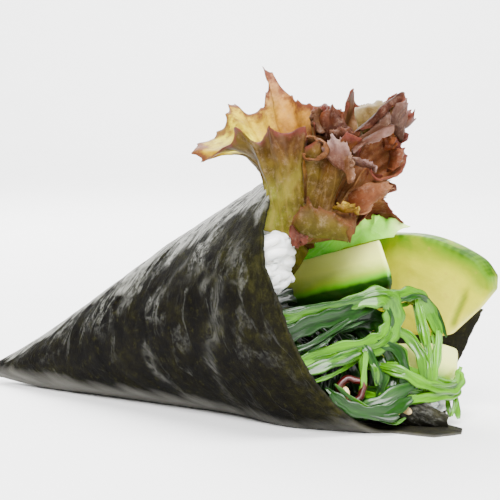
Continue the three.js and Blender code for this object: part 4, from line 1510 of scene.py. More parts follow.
LETTUCE_FOLDS = (
    small_fold(  # the upper curl
        ((6.7, 10, 31.4), (10.4, 11, 29.6), (13.6, 11, 28.8), (15.3, 9.5, 28.8)),
        ((7.2, 11.5, 34), (10.8, 11, 33.1), (13.7, 10.5, 32.3), (15.7, 9.5, 30.1)),
        ((7.8, 9, 35.9), (10.5, 8.5, 36.3), (12, 8.5, 35.4), (15.1, 8, 30.9)),
        (42, 15, 4), (84, 40, 16),
    ),
    small_fold(  # its rolled end
        ((8.6, 9.5, 35.7), (8.4, 10.5, 34.5), (8.6, 11, 33), (9.5, 11.5, 31.3)),
        ((8.3, 11.5, 36.4), (7.3, 12.5, 34.8), (7.6, 13, 32.9), (9, 13, 30.5)),
        ((7.9, 10, 35.7), (8.2, 11, 34.4), (8.4, 11.5, 32.9), (9.5, 12, 31.3)),
        (58, 33, 14), (92, 60, 44),
    ),
    small_fold(  # the fold under it
        ((10.5, 12, 29.4), (13.7, 12.5, 28.4), (16.3, 11, 28.2)),
        ((11.3, 13, 30.7), (14.8, 13.5, 29.9), (17.5, 12, 29.1)),
        ((10.8, 11.5, 31.6), (14.1, 12, 31.2), (16.6, 10.5, 30.3)),
        (40, 15, 4), (81, 40, 19),
    ),
    small_fold(  # the lilac fold
        ((11.3, 15.5, 25.7), (13.2, 16, 23.4), (15.1, 16, 21.5), (15.5, 15, 19.3)),
        ((10.9, 17, 27), (14.4, 17.5, 26.2), (17.1, 17.5, 24.7), (17.4, 16.8, 22)),
        ((10.8, 15.5, 28.4), (12.8, 15, 29.8), (15.5, 15, 28.3), (17.8, 13.5, 27.8)),
        (70, 35, 18), (134, 107, 102),
    ),
    small_fold(  # its tail
        ((15.9, 16.2, 24.8), (15.5, 16.5, 22), (15.4, 16, 19.2)),
        ((17.7, 17.4, 24.3), (17.4, 17.4, 21.6), (17, 16.6, 19)),
        ((17.8, 16, 25.5), (17.5, 16, 22.3), (17, 15.5, 19)),
        (80, 48, 22), (129, 99, 84),
    ),
    small_fold(  # the small cup at the left
        (
            (6.8, 15.6, 28), (8.4, 15.4, 28.6), (10.4, 15.4, 27.9), (10.6, 15.5, 26.8),
            (8.8, 15.8, 26.5), (7.2, 15.8, 27.1), (6.8, 15.6, 28),
        ),
        (
            (7.6, 18.5, 28.1), (9.3, 17.5, 29.9), (12.1, 17, 28.8), (13.2, 17.5, 26.3),
            (11.6, 18.5, 25.1), (8.8, 19, 25.8), (7.6, 18.5, 28.1),
        ),
        (
            (8.1, 18.6, 28), (9.8, 17.8, 29.8), (11.6, 17.2, 28.9), (12.5, 17.4, 26.4),
            (11.1, 18.2, 25.6), (8.8, 18.8, 26.4), (8.1, 18.6, 28),
        ),
        (44, 25, 4), (100, 62, 35),
    ),
    small_fold(  # the upper half of the V
        ((15.8, 13, 25.9), (18.6, 12, 27.2), (21.2, 10.5, 27.9), (23.8, 9, 28.5)),
        ((16.5, 15, 25.4), (19.7, 14, 26.6), (22.5, 12.5, 27.2), (24.8, 11, 27.6)),
        ((16.7, 13.5, 24.5), (19, 12.5, 25.7), (21.7, 11, 26.6), (23.6, 9.5, 27.3)),
        (62, 27, 12), (131, 103, 95),
    ),
    small_fold(  # the lower half of the V
        ((15.7, 13.5, 23.5), (17.1, 12.5, 22.1), (19, 11, 21.1)),
        ((16.3, 15.2, 24.2), (18.5, 14.8, 22.6), (20.2, 12.8, 21.3)),
        ((17, 13.5, 24.8), (18.7, 12.5, 23.5), (20.1, 11, 21.7)),
        (50, 21, 9), (129, 101, 94),
    ),
    small_fold(  # the pale lobe behind the diagonal edge
        ((15.7, 8, 28.4), (18.9, 6.5, 30.5), (22.7, 5, 32.6)),
        ((15.8, 9.5, 32.4), (19, 8, 33.6), (21.5, 6, 34.1)),
        ((13.6, 5, 36.8), (16.1, 4.5, 35.6), (19.2, 4, 35.3), (21.5, 3.5, 34.3)),
        (90, 69, 22), (127, 116, 88),
    ),
    small_fold(  # the dark diagonal edge
        ((14.4, 9, 28.6), (18.6, 8, 31), (22.4, 7, 33.1), (25.9, 6, 34.4)),
        ((17, 11.5, 28.6), (20.6, 10.5, 30.9), (24.1, 9, 33.1), (26.7, 7, 34.3)),
        ((17, 10, 28.6), (20.3, 9, 30.6), (23.2, 7.5, 32.5), (25.8, 6, 34)),
        (40, 14, 4), (75, 38, 25),
    ),
    small_fold(  # the lilac strip below it
        ((15.2, 11, 26.8), (18.5, 10, 28), (20.9, 9, 28.4), (22.9, 8, 29.1)),
        ((16.8, 12, 27.5), (19.9, 11, 29.1), (22.5, 10, 30.2), (23.4, 8, 31.2)),
        ((16.2, 10, 28.4), (19.5, 9, 30.4), (22.2, 7.5, 32.3), (23.6, 6.5, 32.8)),
        (66, 37, 21), (109, 87, 81),
    ),
    small_fold(  # the speckled end
        ((21.7, 6.5, 28.1), (22.2, 5.5, 26.9), (22.7, 4.5, 25.6)),
        ((23.3, 8.5, 30.6), (25.1, 8, 29.5), (25.1, 5.5, 27.8)),
        ((23.4, 6, 32.8), (25.7, 5.5, 33.8), (25.4, 4, 31.4), (25.4, 2.5, 30.6), (23.7, 3, 27.5)),
        (44, 23, 12), (100, 75, 68),
    ),
    small_fold(  # the orange flap
        ((20.1, 7.5, 26.3), (19.9, 7, 24.9), (20.9, 6, 24.4)),
        ((21.2, 9.5, 27.5), (22.5, 9.5, 25.9), (22.9, 8, 24.8)),
        ((22.1, 8, 28), (22.8, 7.5, 27.4), (22.4, 7, 25.9)),
        (74, 29, 5), (104, 54, 23),
    ),
    small_fold(  # the flap below the gap
        ((20, 5.5, 24.2), (19.6, 5.5, 22.6), (18.7, 6, 20.8)),
        ((23, 7, 24.5), (23.1, 7, 22.2), (21.3, 7, 20)),
        ((22.9, 4.5, 24.7), (22.8, 4, 22.6), (21.2, 4.5, 20.8), (19.4, 5, 20.2)),
        (62, 25, 7), (113, 64, 39),
    ),
    small_fold(  # the lobe at the lower right
        ((11.8, 11, 17.7), (11.3, 11.5, 15.4), (11.5, 11.5, 13.5)),
        ((17, 12, 19.4), (17.5, 12.3, 16), (15.4, 11.8, 12.8)),
        (
            (17.2, 8.5, 19), (19.4, 7.5, 19.1), (20.1, 7, 17),
            (18.5, 7.5, 15.6), (16.5, 8.5, 14.9), (15.6, 9, 13),
        ),
        (78, 35, 11), (125, 84, 56),
    ),
    small_fold(  # the yellow fold
        ((9.6, 14.5, 15.6), (12.1, 14.5, 14), (14.2, 13.5, 13.4)),
        ((11.4, 16, 15.8), (13.5, 16, 14.5), (15.2, 14.5, 13.9)),
        ((11.2, 14.5, 16), (13.1, 14.5, 15.8), (14.4, 13, 15.4)),
        (98, 69, 8), (144, 118, 39),
    ),
    small_fold(  # the cup over the cucumber
        ((3.7, 21.8, 10.8), (6.3, 20.3, 10.6), (9.5, 18.6, 9.5), (12.5, 16.4, 8.1)),
        ((3.8, 23.8, 13.4), (8, 22.3, 13.1), (11.7, 20.4, 11.8), (15.1, 17.8, 10.2)),
        (
            (4.3, 21.6, 16), (6.6, 21.2, 17.8), (8.2, 20.6, 18.7),
            (9.3, 19.6, 16.3), (11.9, 18.2, 15.2), (14.4, 16.4, 13.5),
        ),
        (66, 62, 7), (81, 46, 23),
    ),
    small_fold(  # its red tip
        ((4.5, 22.6, 13.6), (5.2, 22.2, 11.9), (6.3, 21.4, 10.6)),
        ((4.2, 23.6, 12), (5.2, 23.4, 10.6), (6.4, 22.3, 9.8)),
        ((3.9, 23, 11.3), (4.5, 22.8, 9.5), (6.1, 22, 10.1)),
        (54, 23, 11), (104, 56, 46),
    ),
)
LETTUCE_BARS = (
    (((-22, 9, 4), (-8, 12, 6), (0, 13, 9.5)), 8.0, 2.4),
    (((-4.5, 20, 12.5), (-1.5, 15, 11.4), (2.3, 10, 10.6), (5.8, 5, 10.4)), 2.4, 8.0),
    (((-14, -1, 9), (-10, 0, 9.8), (-5.4, 0.6, 10.4)), 4.4, 3.0),
)
GREEN_LOBE = Lobe(
    base=((-9.3, 0.5, 7.6), (-2.5, 0.2, 7.9), (2.4, -1, 8.3), (7, -3, 8.5), (10.4, -5, 8.4)),
    middle=((-7.1, 1, 9.7), (-0.5, 1.5, 10.4), (5, 0.5, 11.6), (8.6, -2, 11.3), (11.2, -5, 9.5)),
    margin=(
        (-4.3, 3, 11.4), (1, 3.5, 12.8), (5.8, 2.5, 14.5), (7.6, -0.5, 14.4), (8.9, -2, 13.6),
        (10.6, -4, 12.6), (13.4, -6.8, 9.8),
    ),
    waves=5, frill=1.0, ruffle=1.3, teeth=0.02, cells=(140, 40),
)
LETTUCE_TINTS = Tints((
    ((-22.4, 10, 34.2), (150, 114, 12)),  # tip of the wing
    ((-16.9, 7, 38.1), (202, 190, 16)),
    ((-14.5, 2, 40.7), (186, 154, 24)),
    ((-10.9, -3, 46.2), (168, 120, 80)),  # the spike
    ((-5.1, -1, 39.3), (170, 120, 42)),
    # the near fold's own olive tone, darkest at its top under the wing in part as painted shade
    ((-3.9, 17, 30.9), (68, 52, 2)),  # the near fold
    ((6.1, 19, 30.5), (72, 42, 24)),
    ((6.4, 20, 24.4), (78, 66, 10)),
    ((1.3, 20, 19.4), (74, 62, 8)),
    ((-1.6, 21, 17.1), (124, 130, 46)),
    ((2.5, 17, 9), (80, 76, 10)),  # its foot behind the rice
    ((10.2, 16, 21.2), (66, 50, 10)),
    ((7, 4, 34.1), (60, 20, 3)),  # the curled lobe
    ((11.3, 12, 25.9), (80, 40, 14)),
    ((14.2, 0, 33.2), (130, 98, 64)),
    ((19.1, 0, 28.8), (66, 32, 14)),
    ((15.7, 5, 22.5), (94, 52, 28)),
    ((14.5, 5, 18.1), (148, 96, 62)),
    ((9, 9, 15.4), (92, 58, 22)),
    ((6.7, 18, 15), (76, 60, 12)),  # the low fold
    ((8.8, 12, 12.1), (92, 52, 34)),
    ((11.2, -4, 12.7), (80, 38, 18)),
))
GREEN_TINTS = Tints((
    ((-6, 1, 8.8), (100, 190, 46)),
    ((2.5, 0, 10), (134, 212, 62)),
    ((5.5, 2, 12.8), (186, 254, 96)),
    ((8, -1, 13.3), (194, 255, 104)),
    ((9.4, -3, 10), (168, 248, 84)),
    ((13, -6.5, 9.4), (220, 245, 150)),
), 2.5, 1.5)
LETTUCE_FINISH = LeafFinish(
    "lettuce_blade", tone(88, 42, 34), tone(108, 98, 34), tone(140, 112, 60), (0.5, 0.42, 0.3),
    tone(165, 135, 115),
)
GREEN_FINISH = LeafFinish(
    "green_blade", tone(140, 218, 70), tone(145, 218, 80), tone(185, 228, 135), (0.8, 0.92, 0.6),
    tone(190, 225, 150), 0.5,
)


# ---- The fillings ----


@dataclass(frozen=True)
class CucumberBaton:
    """A baton cut from a cucumber, with skin on one long side.

    Attributes:
        name: Of the piece.
        node: The solid that it stands for.
        start: The middle of its hidden end.
        end: The middle of the end that shows.
        wide: From its heart to its skin.
        deep: Across that.
        turn: Degrees by which it is rolled about its length.
        bulge: How far the skin side is rounded.
        slope: How the end that shows is cut, across and deep.
        sides: Number of points round it.
        steps: Number of points along it.
    """

    name: str
    node: str
    start: Point
    end: Point
    wide: float
    deep: float
    turn: float
    bulge: float
    slope: Flat
    sides: int = 96
    steps: int = 70

    def build(self, finish: CucumberFinish) -> Object:
        """Makes the baton.

        Args:
            finish: Of the cucumber.

        Returns:
            The piece.
        """
        facing = np.array([0, *cos_sin(self.turn)])
        start, end = np.array(self.start), np.array(self.end)
        line = start + np.linspace(0, 1, self.steps)[:, None] * (end - start)

        def outline(angle: Array, share: Array) -> tuple[Array, Array]:
            """A rounded square with one bulging side."""
            across, deep_ways = bar_section(angle, self.wide, self.deep, 0.26)
            skin_side = np.maximum(across / self.wide, 0)
            hump = np.maximum(1 - (2 * deep_ways / self.deep) ** 2, 0)
            return across + 2 * self.bulge * skin_side * hump, deep_ways

        rings, angle, share = swept(line, facing, outline, self.sides)
        across, deep_ways = outline(angle, share)
        cut = (self.slope[0] * across + self.slope[1] * deep_ways) * np.clip((share - 0.9) / 0.1, 0, 1)
        rings = rings + cut[..., None] * unit(end - start)
        rings += 0.07 * Relief(61).layered(rings / 3, 2)[..., None]
        draft = Draft()
        # inward drives the painted shade towards the hidden end
        draft.add_tube(rings, caps=8, skin=0.5 + across / self.wide / 1.15, inward=1 - share)
        return draft.piece(self.name, [finish.material()], self.node)


@dataclass(frozen=True)
class AvocadoSlice:
    """The slice of avocado that fans out of the mouth.

    Attributes:
        skin: Its outline on the skin side, along and up.
        cut: The rest of its outline.
        pivot: The height about which its face leans.
        face: How far near its face is at that height.
        lean: How much nearer the face gets with height.
        thick: Of the slice at the top.
        thin: Of the slice at the bottom.
        soft: How far its edges are rounded.
        middle: Where its rings meet.
        crease_from: One end of the crease in its face.
        crease_to: The other end.
        groove: Depth of the crease.
    """

    skin: tuple[Flat, ...] = (
        (-34, 3), (-20, 8.6), (-1.6, 10.5), (10.1, 8.7), (18, 5.5), (24.8, 0), (26.7, -4.2),
    )
    cut: tuple[Flat, ...] = ((25.6, -6.9), (21, -9.8), (11.7, -14.2), (-34, -1))
    pivot: float = -3.0
    face: float = -10.0
    lean: float = 0.2
    thick: float = 6.0
    thin: float = 4.2
    soft: float = 1.1
    middle: Flat = (2.0, -1.5)
    crease_from: Flat = (13.4, -13.2)
    crease_to: Flat = (22.2, -4.2)
    groove: float = 0.8

    def outline(self) -> tuple[Array, Array]:
        """Draws the slice from its side.

        Returns:
            Its outline, and the part of it on the skin side.
        """
        skin = smooth_line(self.skin, np.linspace(0, 1, 150))
        corners = [skin[-1], *map(np.array, self.cut), skin[0]]
        sides = [
            start + np.linspace(0, 1, 24, endpoint=False)[:, None] * (end - start)
            for start, end in zip(corners, corners[1:])
        ]
        loop = np.vstack([skin[:-1], *sides])
        for _ in range(5):
            rounded = (np.roll(loop, 1, axis=0) + 2 * loop + np.roll(loop, -1, axis=0)) / 4
            loop = np.where(np.arange(len(loop))[:, None] > 130, rounded, loop)
        return loop, skin

    def build(self, finish: AvocadoFinish) -> Object:
        """Makes the slice.

        Args:
            finish: Of the flesh.

        Returns:
            The piece.
        """
        loop, skin = self.outline()
        centre = np.array(self.middle)
        reach = np.linalg.norm(loop - centre, axis=1)
        scale = np.append(np.linspace(0.03, 0.97, 30), np.ones(8))[:, None]
        bend = np.append(np.zeros(30), np.linspace(0, 0.5 * math.pi, 8))[:, None]
        shrunk = scale * (1 - self.soft * (1 - np.sin(bend)) / reach)
        flat = centre + shrunk[..., None] * (loop - centre)
        down = self.soft * (1 - np.cos(bend))
        up = flat[..., 1]
        top, bottom = self.skin[2][1], self.cut[2][1]
        thick = self.thin + (up - bottom) / (top - bottom) * (self.thick - self.thin)
        groove, facet = self.creased(flat)
        front = 0.5 * thick - down - groove - facet
        back = -0.5 * thick + down
        base = self.face + self.lean * (up - self.pivot) - 0.5 * self.thick
        near, far = (np.stack([flat[..., 0], base + level, up], axis=-1) for level in (front, back))
        whole = np.concatenate([near, far[::-1]])
        away = np.linalg.norm(flat[:, :, None] - skin[None, None, ::5], axis=-1).min(axis=2)
        depth = np.clip(away / 14, 0, 1)
        whole += 0.12 * Relief(71).layered(whole / 7, 3)[..., None] * np.array([0.2, 1, 0.2])
        draft = Draft()
        creases = np.concatenate([groove / self.groove, 0 * groove])
        draft.add_tube(whole, caps=1, depth=np.concatenate([depth, depth[::-1]]), crease=creases)
        return draft.piece("avocado_slice", [finish.material()], "avocado")

    def creased(self, flat: Array) -> tuple[Array, Array]:
        """Creases the face near its lower right corner.

        Args:
            flat: Points of the face, along and up.

        Returns:
            How deep the crease is, and the facet beyond it.
        """
        start, end = np.array(self.crease_from), np.array(self.crease_to)
        way = unit(end - start)
        length = np.linalg.norm(end - start)
        along = (flat - start) @ way
        beside = (flat - start) @ np.array([way[1], -way[0]])
        inside = np.clip(along / 2, 0, 1) * np.clip((length - along) / 4, 0, 1)
        groove = self.groove * np.exp(-((beside / 0.7) ** 2)) * inside
        facet = 0.4 * np.clip(beside, 0, 3) * np.clip(1 - (along - length) / 4, 0, 1)
        return groove, facet


@dataclass(frozen=True)
class Strand:
    """One strand of seaweed, by its width, thickness, path and how light it is."""

    wide: float
    thick: float
    path: Line
    light: float


STRANDS = (
    Strand(3.4, 1.2, ((-17, 14, 0.2), (-12.6, 5, 1), (-9.5, -1, 0.4)), 0.34),
    Strand(2.6, 1.1, ((-4, 24, -4), (2.3, 19, -3.9), (7.6, 12, -3.8), (11.6, 7, -3.6)), 0.36),
    Strand(3.6, 0.9, ((-4, 24.5, -8), (1.9, 20, -6.2), (6, 14, -5.6), (9.7, 8, -5)), 0.36),
    Strand(1.2, 0.9, ((-3, 24, -11), (2.2, 20, -9.6), (4.9, 16, -8), (7.4, 11.6, -6.4)), 0.5),
    Strand(2.6, 1.0, ((-3, 23, -15.4), (3.4, 18.6, -14.6), (7.2, 12.6, -13.4)), 0.5),
    Strand(4.4, 0.9, (  # the broad loop in front
        (5.5, 13, -3.6), (11.6, 8.4, -3.6), (13, 6, -6), (11.5, 6.5, -10.4),
        (9.1, 10, -12.8), (3.4, 17, -12.9), (-2, 23, -13),
    ), 0.5),
    Strand(3.0, 1.0, (  # the outer one, over the avocado
        (-2, 10, -6), (7, 7, -4.2), (12.6, 2.5, -4.2), (14, -2.4, -4.6), (14.6, -5, -8.4),
        (15.4, -5.6, -13.6),
    ), 0.6),
    Strand(1.4, 1.0, ((15.4, -5.4, -12.6), (15.9, -1.6, -17), (16, 1, -21), (15.2, 2, -24)), 0.8),
    Strand(1.3, 1.0, ((13.8, -2.2, -5), (14.6, -1.4, -13), (15.8, 1.6, -18), (15.3, 2.6, -23.8)), 0.85),
    Strand(1.8, 1.1, ((11.3, 6.5, -9.6), (13.4, 3.6, -13), (15.2, 3.4, -18), (14.2, 3.8, -24)), 0.8),
    Strand(2.4, 1.2, (  # the low loop under the back cucumber
        (4, 8, -16), (11, 7.6, -18.6), (14.2, 5.2, -21.6), (16.2, 1.6, -23.9),
        (16.2, -5, -24.9), (15.2, -9.6, -23.6), (14.6, -11.4, -22),
    ), 0.92),
    Strand(2.0, 1.2, (
        (2, 9, -21), (7, 9, -23.4), (11.4, 7, -24.8), (15.4, 1.6, -25.6), (15.9, -5, -26),
        (14.4, -9.2, -24.6),
    ), 0.75),
    Strand(1.0, 0.9, ((15.6, -5.6, -25.4), (15.6, -5.4, -27.6), (14.8, -4, -30.2)), 0.9),
    Strand(2.2, 1.1, ((9.3, 9.4, -12.4), (12, 6.4, -15), (12.4, 6.4, -19), (11.4, 7.4, -24.4)), 0.5),
    Strand(2.2, 1.2, ((2, 9, -11.4), (8.6, 7.6, -17), (7, 9.2, -23.4)), 0.3),
    Strand(2.0, 1.2, ((2, 7, -11.6), (8.2, 6.8, -12.6), (9.6, 5.4, -18), (8.6, 8, -23.8)), 0.3),
    Strand(2.0, 1.0, ((8, 12, -12.6), (9.2, 11.6, -16.6), (9, 11, -20.6)), 0.5),
    Strand(1.2, 0.9, ((9.2, 13.6, -13.6), (7.4, 13.4, -18.2), (6, 13.2, -22.4)), 0.8),
    Strand(3.2, 1.0, ((3, 14.6, -25.4), (8, 12, -24.4), (13.6, 5.8, -22.2)), 0.5),
    Strand(2.8, 1.2, ((2.6, 19.4, -20.4), (5.6, 17.4, -24.2), (10, 13.6, -26.2), (12.8, 6.4, -24.9)), 0.36),
    Strand(1.6, 1.0, ((7, 16, -25.2), (10.4, 13.6, -27.6), (12, 11.4, -27.6)), 0.4),
    Strand(4.8, 1.0, ((-1, 11, -6.6), (5.4, 5.4, -7.2), (8.8, 4.6, -8.8), (10.8, 5.2, -12)), 0.42),
)


@dataclass
class SeaweedSalad:
    """The heap of seaweed strands over a core painted dark as shade, with two sesame seeds.

    Attributes:
        strands: Those that show one by one.
        core: The middle and the half sizes of each mass under them, painted dark as the shade between the
            strands.
        companions: Number of thinner strands beside each one.
        fill_count: Number of strands over the core.
        sides: Number of points round a strand.
        clearance: Of the strands from the nori.
        sesame: The middles of the sesame seeds.
        sesame_turns: Degrees by which each is turned.
        sesame_radii: Their half sizes.
        seed: Of the random draws.
    """

    strands: tuple[Strand, ...] = STRANDS
    core: tuple[tuple[Point, Point], ...] = (
        ((-11, 10, -13), (12, 18, 13)), ((-5, 5, -16), (10.5, 11, 10)),
    )
    companions: int = 2
    fill_count: int = 34
    sides: int = 14
    clearance: float = 0.9
    sesame: tuple[Point, ...] = ((9.6, 8.6, -27), (10.8, 6.4, -26.8))
    sesame_turns: tuple[float, ...] = (20, -35)
    sesame_radii: Point = (1.55, 0.5, 0.95)
    seed: int = 12

    def add_strand(self, draft: Draft, strand: Strand, random: np.random.Generator) -> None:
        """Adds one strand, wavy along its edges and grooved along its middle.

        Args:
            draft: The salad's mesh.
            strand: The strand.
            random: Draws its shape.
        """
        knots = np.array(strand.path, float)
        length = np.linalg.norm(np.diff(knots, axis=0), axis=1).sum()
        steps = max(int(length / 0.45), 10)
        path = smooth_line(knots, np.linspace(0, 1, steps))
        wobble = Relief(int(random.integers(1000)))
        path = path + 0.25 * np.stack([wobble.plain(path / 4 + shift) for shift in (0, 11, 23)], axis=-1)
        path = ROLL.keep_inside(path, self.clearance + 0.5 * strand.thick)
        twist = 0.5 * random.uniform(-1, 1)

        def outline(angle: Array, share: Array) -> tuple[Array, Array]:
            """A flat section with a groove, thinned at both ends."""
            taper = 0.5 + 0.5 * np.minimum(1, 7 * np.minimum(share, 1 - share))
            ripple = 1 + 0.14 * np.sin(share * length * 1.3 + 3 * twist)
            across, deep = bar_section(angle, strand.wide * taper * ripple, strand.thick * taper, 0.9)
            groove = 0.22 * strand.thick * np.cos(angle) * np.exp(-((3 * np.sin(angle)) ** 2))
            turn = twist * np.sin(math.pi * share)
            cupped = 0.3 * strand.thick * np.sin(angle) ** 2
            deep = deep - groove + cupped
            cos, sin = np.cos(turn), np.sin(turn)
            return across * cos - deep * sin, across * sin + deep * cos

        rings, angle, share = swept(path, np.array([0.75, 1, 0.1]), outline, self.sides)
        shade = strand.light + random.uniform(-0.25, 0.25)
        side = np.sin(angle)
        beside = 0.5 * strand.wide * side
        draft.add_tube(rings, caps=2, shade=shade, edge=np.abs(side), run=share * length, beside=beside)

    def companions_of(self, strand: Strand, random: np.random.Generator) -> list[Strand]:
        """Lays thinner strands beside one.

        Args:
            strand: The strand.
            random: Draws them.

        Returns:
            The thinner strands.
        """
        made = []
        for _ in range(self.companions):
            aside = random.uniform(-1, 1, 3) * np.array([0.9, 0.9, 0.55 * strand.wide + 0.5])
            behind = np.array([-0.5, -0.6, 0.0])
            bend = random.uniform(-0.8, 0.8, (len(strand.path), 3))
            path = np.array(strand.path) + aside + behind + bend
            wide, thick = random.uniform(0.6, 1.3), random.uniform(0.5, 0.8)
            made.append(Strand(wide, thick, tuple(map(tuple, path)), strand.light))
        return made

    def filling(self, random: np.random.Generator) -> list[Strand]:
        """Lays strands over the core in shallow arches.

        Args:
            random: Draws them.

        Returns:
            The strands.
        """
        made = []
        for k in range(self.fill_count):
            share = (k + 0.5) / self.fill_count
            near = 23 - 19 * share + random.uniform(-1, 1)
            reach = -2 + 8 * share + random.uniform(-1.2, 0.8)
            path = (
                (reach - 4, near + random.uniform(-2, 3), -6 - 3 * random.random()),
                (reach, near, -13 + random.uniform(-2, 2)),
                (reach - 1, near + random.uniform(-3, 2), -18 - 4 * random.random()),
            )
            # the strands deep over the core are painted darker, as shade
            made.append(Strand(random.uniform(1.0, 2.2), random.uniform(0.7, 1.1), path, 0.2))
        return made

    def add_core(self, draft: Draft) -> None:
        """Adds the mass under the strands, painted dark as the shade deep in the heap.

        Args:
            draft: The salad's mesh.
        """
        out = ball(*ball_grid(30, 48, 0.02))
        for centre, radii in self.core:
            skin = np.array(centre) + out * (np.array(radii) - 1.0)
            skin += 0.8 * Relief(81).layered(skin / 3, 3)[..., None] * out
            # painted shade: the core takes the ramp's darkest colour
            draft.add_tube(ROLL.keep_inside(skin, 1.4), caps=1, shade=-0.1)

    def build(self, finish: SeaweedFinish, seed_finish: PlainFinish) -> Object:
        """Makes the salad.

        Args:
            finish: Of the seaweed.
            seed_finish: Of the sesame seeds.

        Returns:
            The piece.
        """
        random = np.random.default_rng(self.seed)
        draft = Draft()
        self.add_core(draft)
        for strand in self.strands:
            self.add_strand(draft, strand, random)
            for companion in self.companions_of(strand, random):
                self.add_strand(draft, companion, random)
        for strand in self.filling(random):
            self.add_strand(draft, strand, random)
        for centre, turn in zip(self.sesame, self.sesame_turns):
            draft.add_tube(pebble(self.sesame_radii, turn, 0.35) + np.array(centre), slot=1)
        materials = [finish.material(), seed_finish.material()]
        return draft.piece("seaweed_strands", materials, "wakame_salad")


def pebble(radii: Point, turn: float, taper: float) -> Array:
    """Rings of a small rounded body.

    Args:
        radii: Its half sizes along, near and up.
        turn: Degrees by which it is turned in the plane of along and up.
        taper: How much narrower one end is.

    Returns:
        The rings, round its middle.
    """
    lift, around = ball_grid(16, 18, 0.08)
    cos, sin = cos_sin(turn)
    spin = np.array([[cos, 0, -sin], [0, 1, 0], [sin, 0, cos]])
    return ball(lift, around, radii, 1 - taper * (0.5 - 0.5 * np.cos(lift))) @ spin.T


@dataclass(frozen=True)
class ChilliRing:
    """A slice across a dried chilli, with one seed left in it.

    Attributes:
        centre: Its middle.
        facing: Which way its opening faces.
        radius: Of the middle of its wall.
        wall: About half its wall's thickness and depth.
        seed_at: The seed's middle from the ring's: aside, up and out of its opening.
        seed_radii: The seed's half sizes, the same ways.
    """

    centre: Point = (4.4, 14.4, -20.6)
    facing: Point = (0.56, 0.8, 0.1)
    radius: float = 2.35
    wall: float = 1.0
    seed_at: Point = (-1.25, -0.3, 0.1)
    seed_radii: Point = (0.8, 1.5, 0.5)

    def build(self, finish: PlainFinish, seed_finish: PlainFinish) -> Object:
        """Makes the ring.

        Args:
            finish: Of the chilli.
            seed_finish: Of its seed.

        Returns:
            The piece.
        """
        axis = unit(np.array(self.facing))
        side = unit(np.cross(axis, np.array([0, 0, 1.0])))
        top = np.cross(side, axis)
        turn, around = grid(np.linspace(0, 2 * math.pi, 73)[:-1], full_turn(20))
        lump = 1 + 0.1 * np.sin(3 * turn + 1) + 0.07 * np.sin(5 * turn)
        out = self.radius * lump + self.wall * (0.75 * np.cos(around))
        plane = side * (out * np.cos(turn))[..., None] + top * (out * np.sin(turn))[..., None]
        rings = np.array(self.centre) + plane + axis * (1.1 * self.wall * np.sin(around))[..., None]
        draft = Draft()
        draft.add(rings, (grid_faces(73, 20, closed=True) % (72 * 20)).tolist())
        local = pebble(self.seed_radii, 0, 0.3) + np.array(self.seed_at)
        seed = np.array(self.centre) + local[..., :1] * side + local[..., 1:2] * top + local[..., 2:] * axis
        draft.add_tube(seed, slot=1)
        materials = [finish.material(), seed_finish.material()]
        return draft.piece("chilli_slice", materials, "chili_ring")


